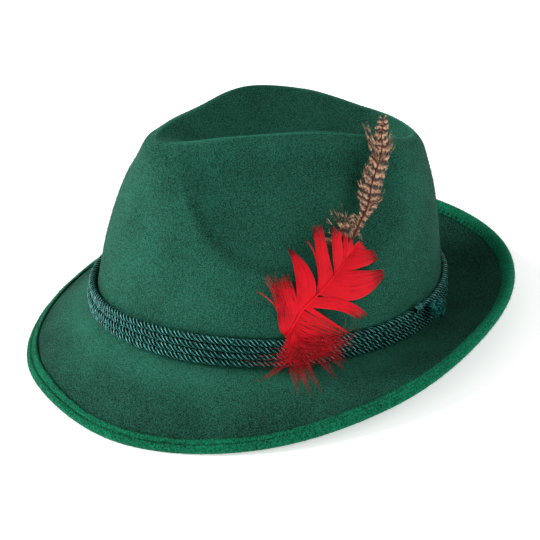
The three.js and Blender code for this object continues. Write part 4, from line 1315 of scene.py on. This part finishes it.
class Light(Enum):
    """The studio's soft lights: place round the hat, height, softness in degrees, and strength."""

    KEY = (-38.0, 36.0, 28.0, 3.2)
    FRONT = (30.0, 12.0, 45.0, 0.70)
    BACK = (150.0, 26.0, 40.0, 0.80)


@dataclass
class Studio:
    """The pale floor, the soft lights and the camera."""

    form: HatForm
    azimuth: float = 60.805
    elevation: float = 24.873
    roll: float = 1.947
    distance: float = 1500.0
    focal: float = 2682.4
    frame_pixels: float = 540.0
    sensor: float = 36.0
    target: tuple[float, float, float] = (0.154, -0.331, 15.825)
    light_distance: float = 1.6
    world: float = 0.38

    def camera(self) -> None:
        """The camera at the photograph's angle to the hat."""
        turn, rise, roll = (math.radians(v) for v in (self.azimuth, self.elevation, self.roll))
        back = Vector((math.sin(turn) * math.cos(rise), -math.cos(turn) * math.cos(rise), math.sin(rise)))
        right = Vector((math.cos(turn), math.sin(turn), 0.0))
        up = back.cross(right)
        across = right * math.cos(roll) + up * math.sin(roll)
        upward = up * math.cos(roll) - right * math.sin(roll)
        tip = Matrix.Rotation(self.form.tilt, 3, "X")
        axes = Matrix([tip @ across, tip @ upward, tip @ back]).transposed()
        eye = self.form.rest(np.array(Vector(self.target) + back * self.distance))
        data = bpy.data.cameras.new("studio_camera")
        data.sensor_width = self.sensor
        data.lens = self.focal / self.frame_pixels * self.sensor
        data.clip_end = 20.0
        thing = bpy.data.objects.new("studio_camera", data)
        thing.matrix_world = Matrix.Translation(Vector(eye)) @ axes.to_4x4()
        bpy.context.collection.objects.link(thing)
        bpy.context.scene.camera = thing

    def floor(self) -> None:
        """The plain pale floor."""
        size = 4.0
        corners = np.array([[-size, -size, 0], [size, -size, 0], [size, size, 0], [-size, size, 0]])
        made = bpy.data.materials.new("studio_floor")
        made.use_nodes = True
        shader = made.node_tree.nodes["Principled BSDF"]
        shader.inputs["Base Color"].default_value = (0.93, 0.93, 0.93, 1)
        shader.inputs["Emission Color"].default_value = (1, 1, 1, 1)
        shader.inputs["Emission Strength"].default_value = 0.54
        shader.inputs["Roughness"].default_value = 0.9
        mesh_object("studio_floor", corners, [[0, 1, 2, 3]], made)

    def lights(self) -> None:
        """The soft lights and the white surroundings."""
        for light in Light:
            azimuth, elevation, softness, power = light.value
            turn, rise = math.radians(azimuth), math.radians(elevation)
            way = Vector((math.sin(turn) * math.cos(rise), -math.cos(turn) * math.cos(rise), math.sin(rise)))
            data = bpy.data.lights.new(light.name.lower(), "SUN")
            data.angle = math.radians(softness)
            data.energy = power
            thing = bpy.data.objects.new(light.name.lower(), data)
            thing.location = way * self.light_distance
            thing.rotation_euler = way.to_track_quat("Z", "Y").to_euler()
            bpy.context.collection.objects.link(thing)
        scene = bpy.context.scene
        scene.world = bpy.data.worlds.new("studio_world")
        scene.world.use_nodes = True
        sky = scene.world.node_tree.nodes["Background"]
        sky.inputs[0].default_value = (1, 1, 1, 1)
        sky.inputs[1].default_value = self.world
        scene.view_settings.view_transform = "Standard"


def place(piece: bpy.types.Object, slot: str, *nodes: str) -> bpy.types.Object:
    """Rides a piece on the hat, hides the solids that it stands in for, and logs how many faces it has."""
    if nodes:
        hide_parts(*nodes)
    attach(piece, BODY)
    LOG.info("%s: %d faces", piece.name, len(piece.data.polygons))
    return piece


def main() -> None:
    """Builds the hat, its studio and its camera."""
    logging.basicConfig(level=logging.INFO, format="%(name)s %(message)s")
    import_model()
    form = HatForm()
    form.settle()
    LOG.info("tilt %.2f degrees", math.degrees(form.tilt))
    nap = nap_group()
    crown_felt = FeltFinish("crown_felt", colour(1, 28, 20), colour(46, 118, 96)).material(nap)
    rim_felt = FeltFinish("binding_felt", colour(1, 40, 27), colour(15, 137, 96), 0.12, 0.6, 1100.0).material(nap)
    cord = CordFinish("band_cord", colour(2, 20, 21), colour(108, 222, 208), colour(120, 190, 180)).material()
    knot_cord = CordFinish("knot_cord", colour(6, 60, 58), colour(60, 180, 165), colour(120, 230, 215)).material()
    barbs = BarbFinish("red_barbs", colour(104, 4, 12), colour(234, 10, 34)).material()
    speckle = SpeckleFinish("speckled_barbs", colour(30, 20, 14), colour(146, 100, 70), colour(214, 174, 138)).material()
    rusty = BarbFinish("rusty_rib", colour(96, 40, 26), colour(168, 92, 62)).material()
    body = FeltBody(form)
    felt = body.build(crown_felt)
    binding = EdgeBinding(form).build(rim_felt)
    place(felt, "crown_felt", "hat_body")
    place(binding, "binding_felt", "brim_binding")
    tree = Fuzz().tree()
    place(Fuzz(50000).grow(felt, "felt_fibres", tree, crown_felt), "crown_felt")
    place(Fuzz(26000, 1.3).grow(binding, "binding_fibres", tree, rim_felt), "binding_felt")
    band = CordBand(form)
    for row in range(band.rows):
        place(band.ring(row, cord), "band_cord", f"band_cord_{row + 1}")
    place(band.knot(knot_cord), "knot_cord", "band_knot")
    place(band.bound_end(cord), "band_cord", "cord_end")
    sprig = Sprig(form)
    place(sprig.red(barbs), "red_barbs", "red_feather")
    speckled = SpeckledSprig(form)
    place(speckled.vane(speckle), "speckled_barbs", "speckled_feather")
    place(speckled.rib(rusty), "speckled_barbs")
    place(speckled.tuft(speckle), "speckled_barbs", "speckled_tuft")
    studio = Studio(form)
    studio.camera()
    studio.lights()
    studio.floor()


if __name__ == "__main__":
    main()
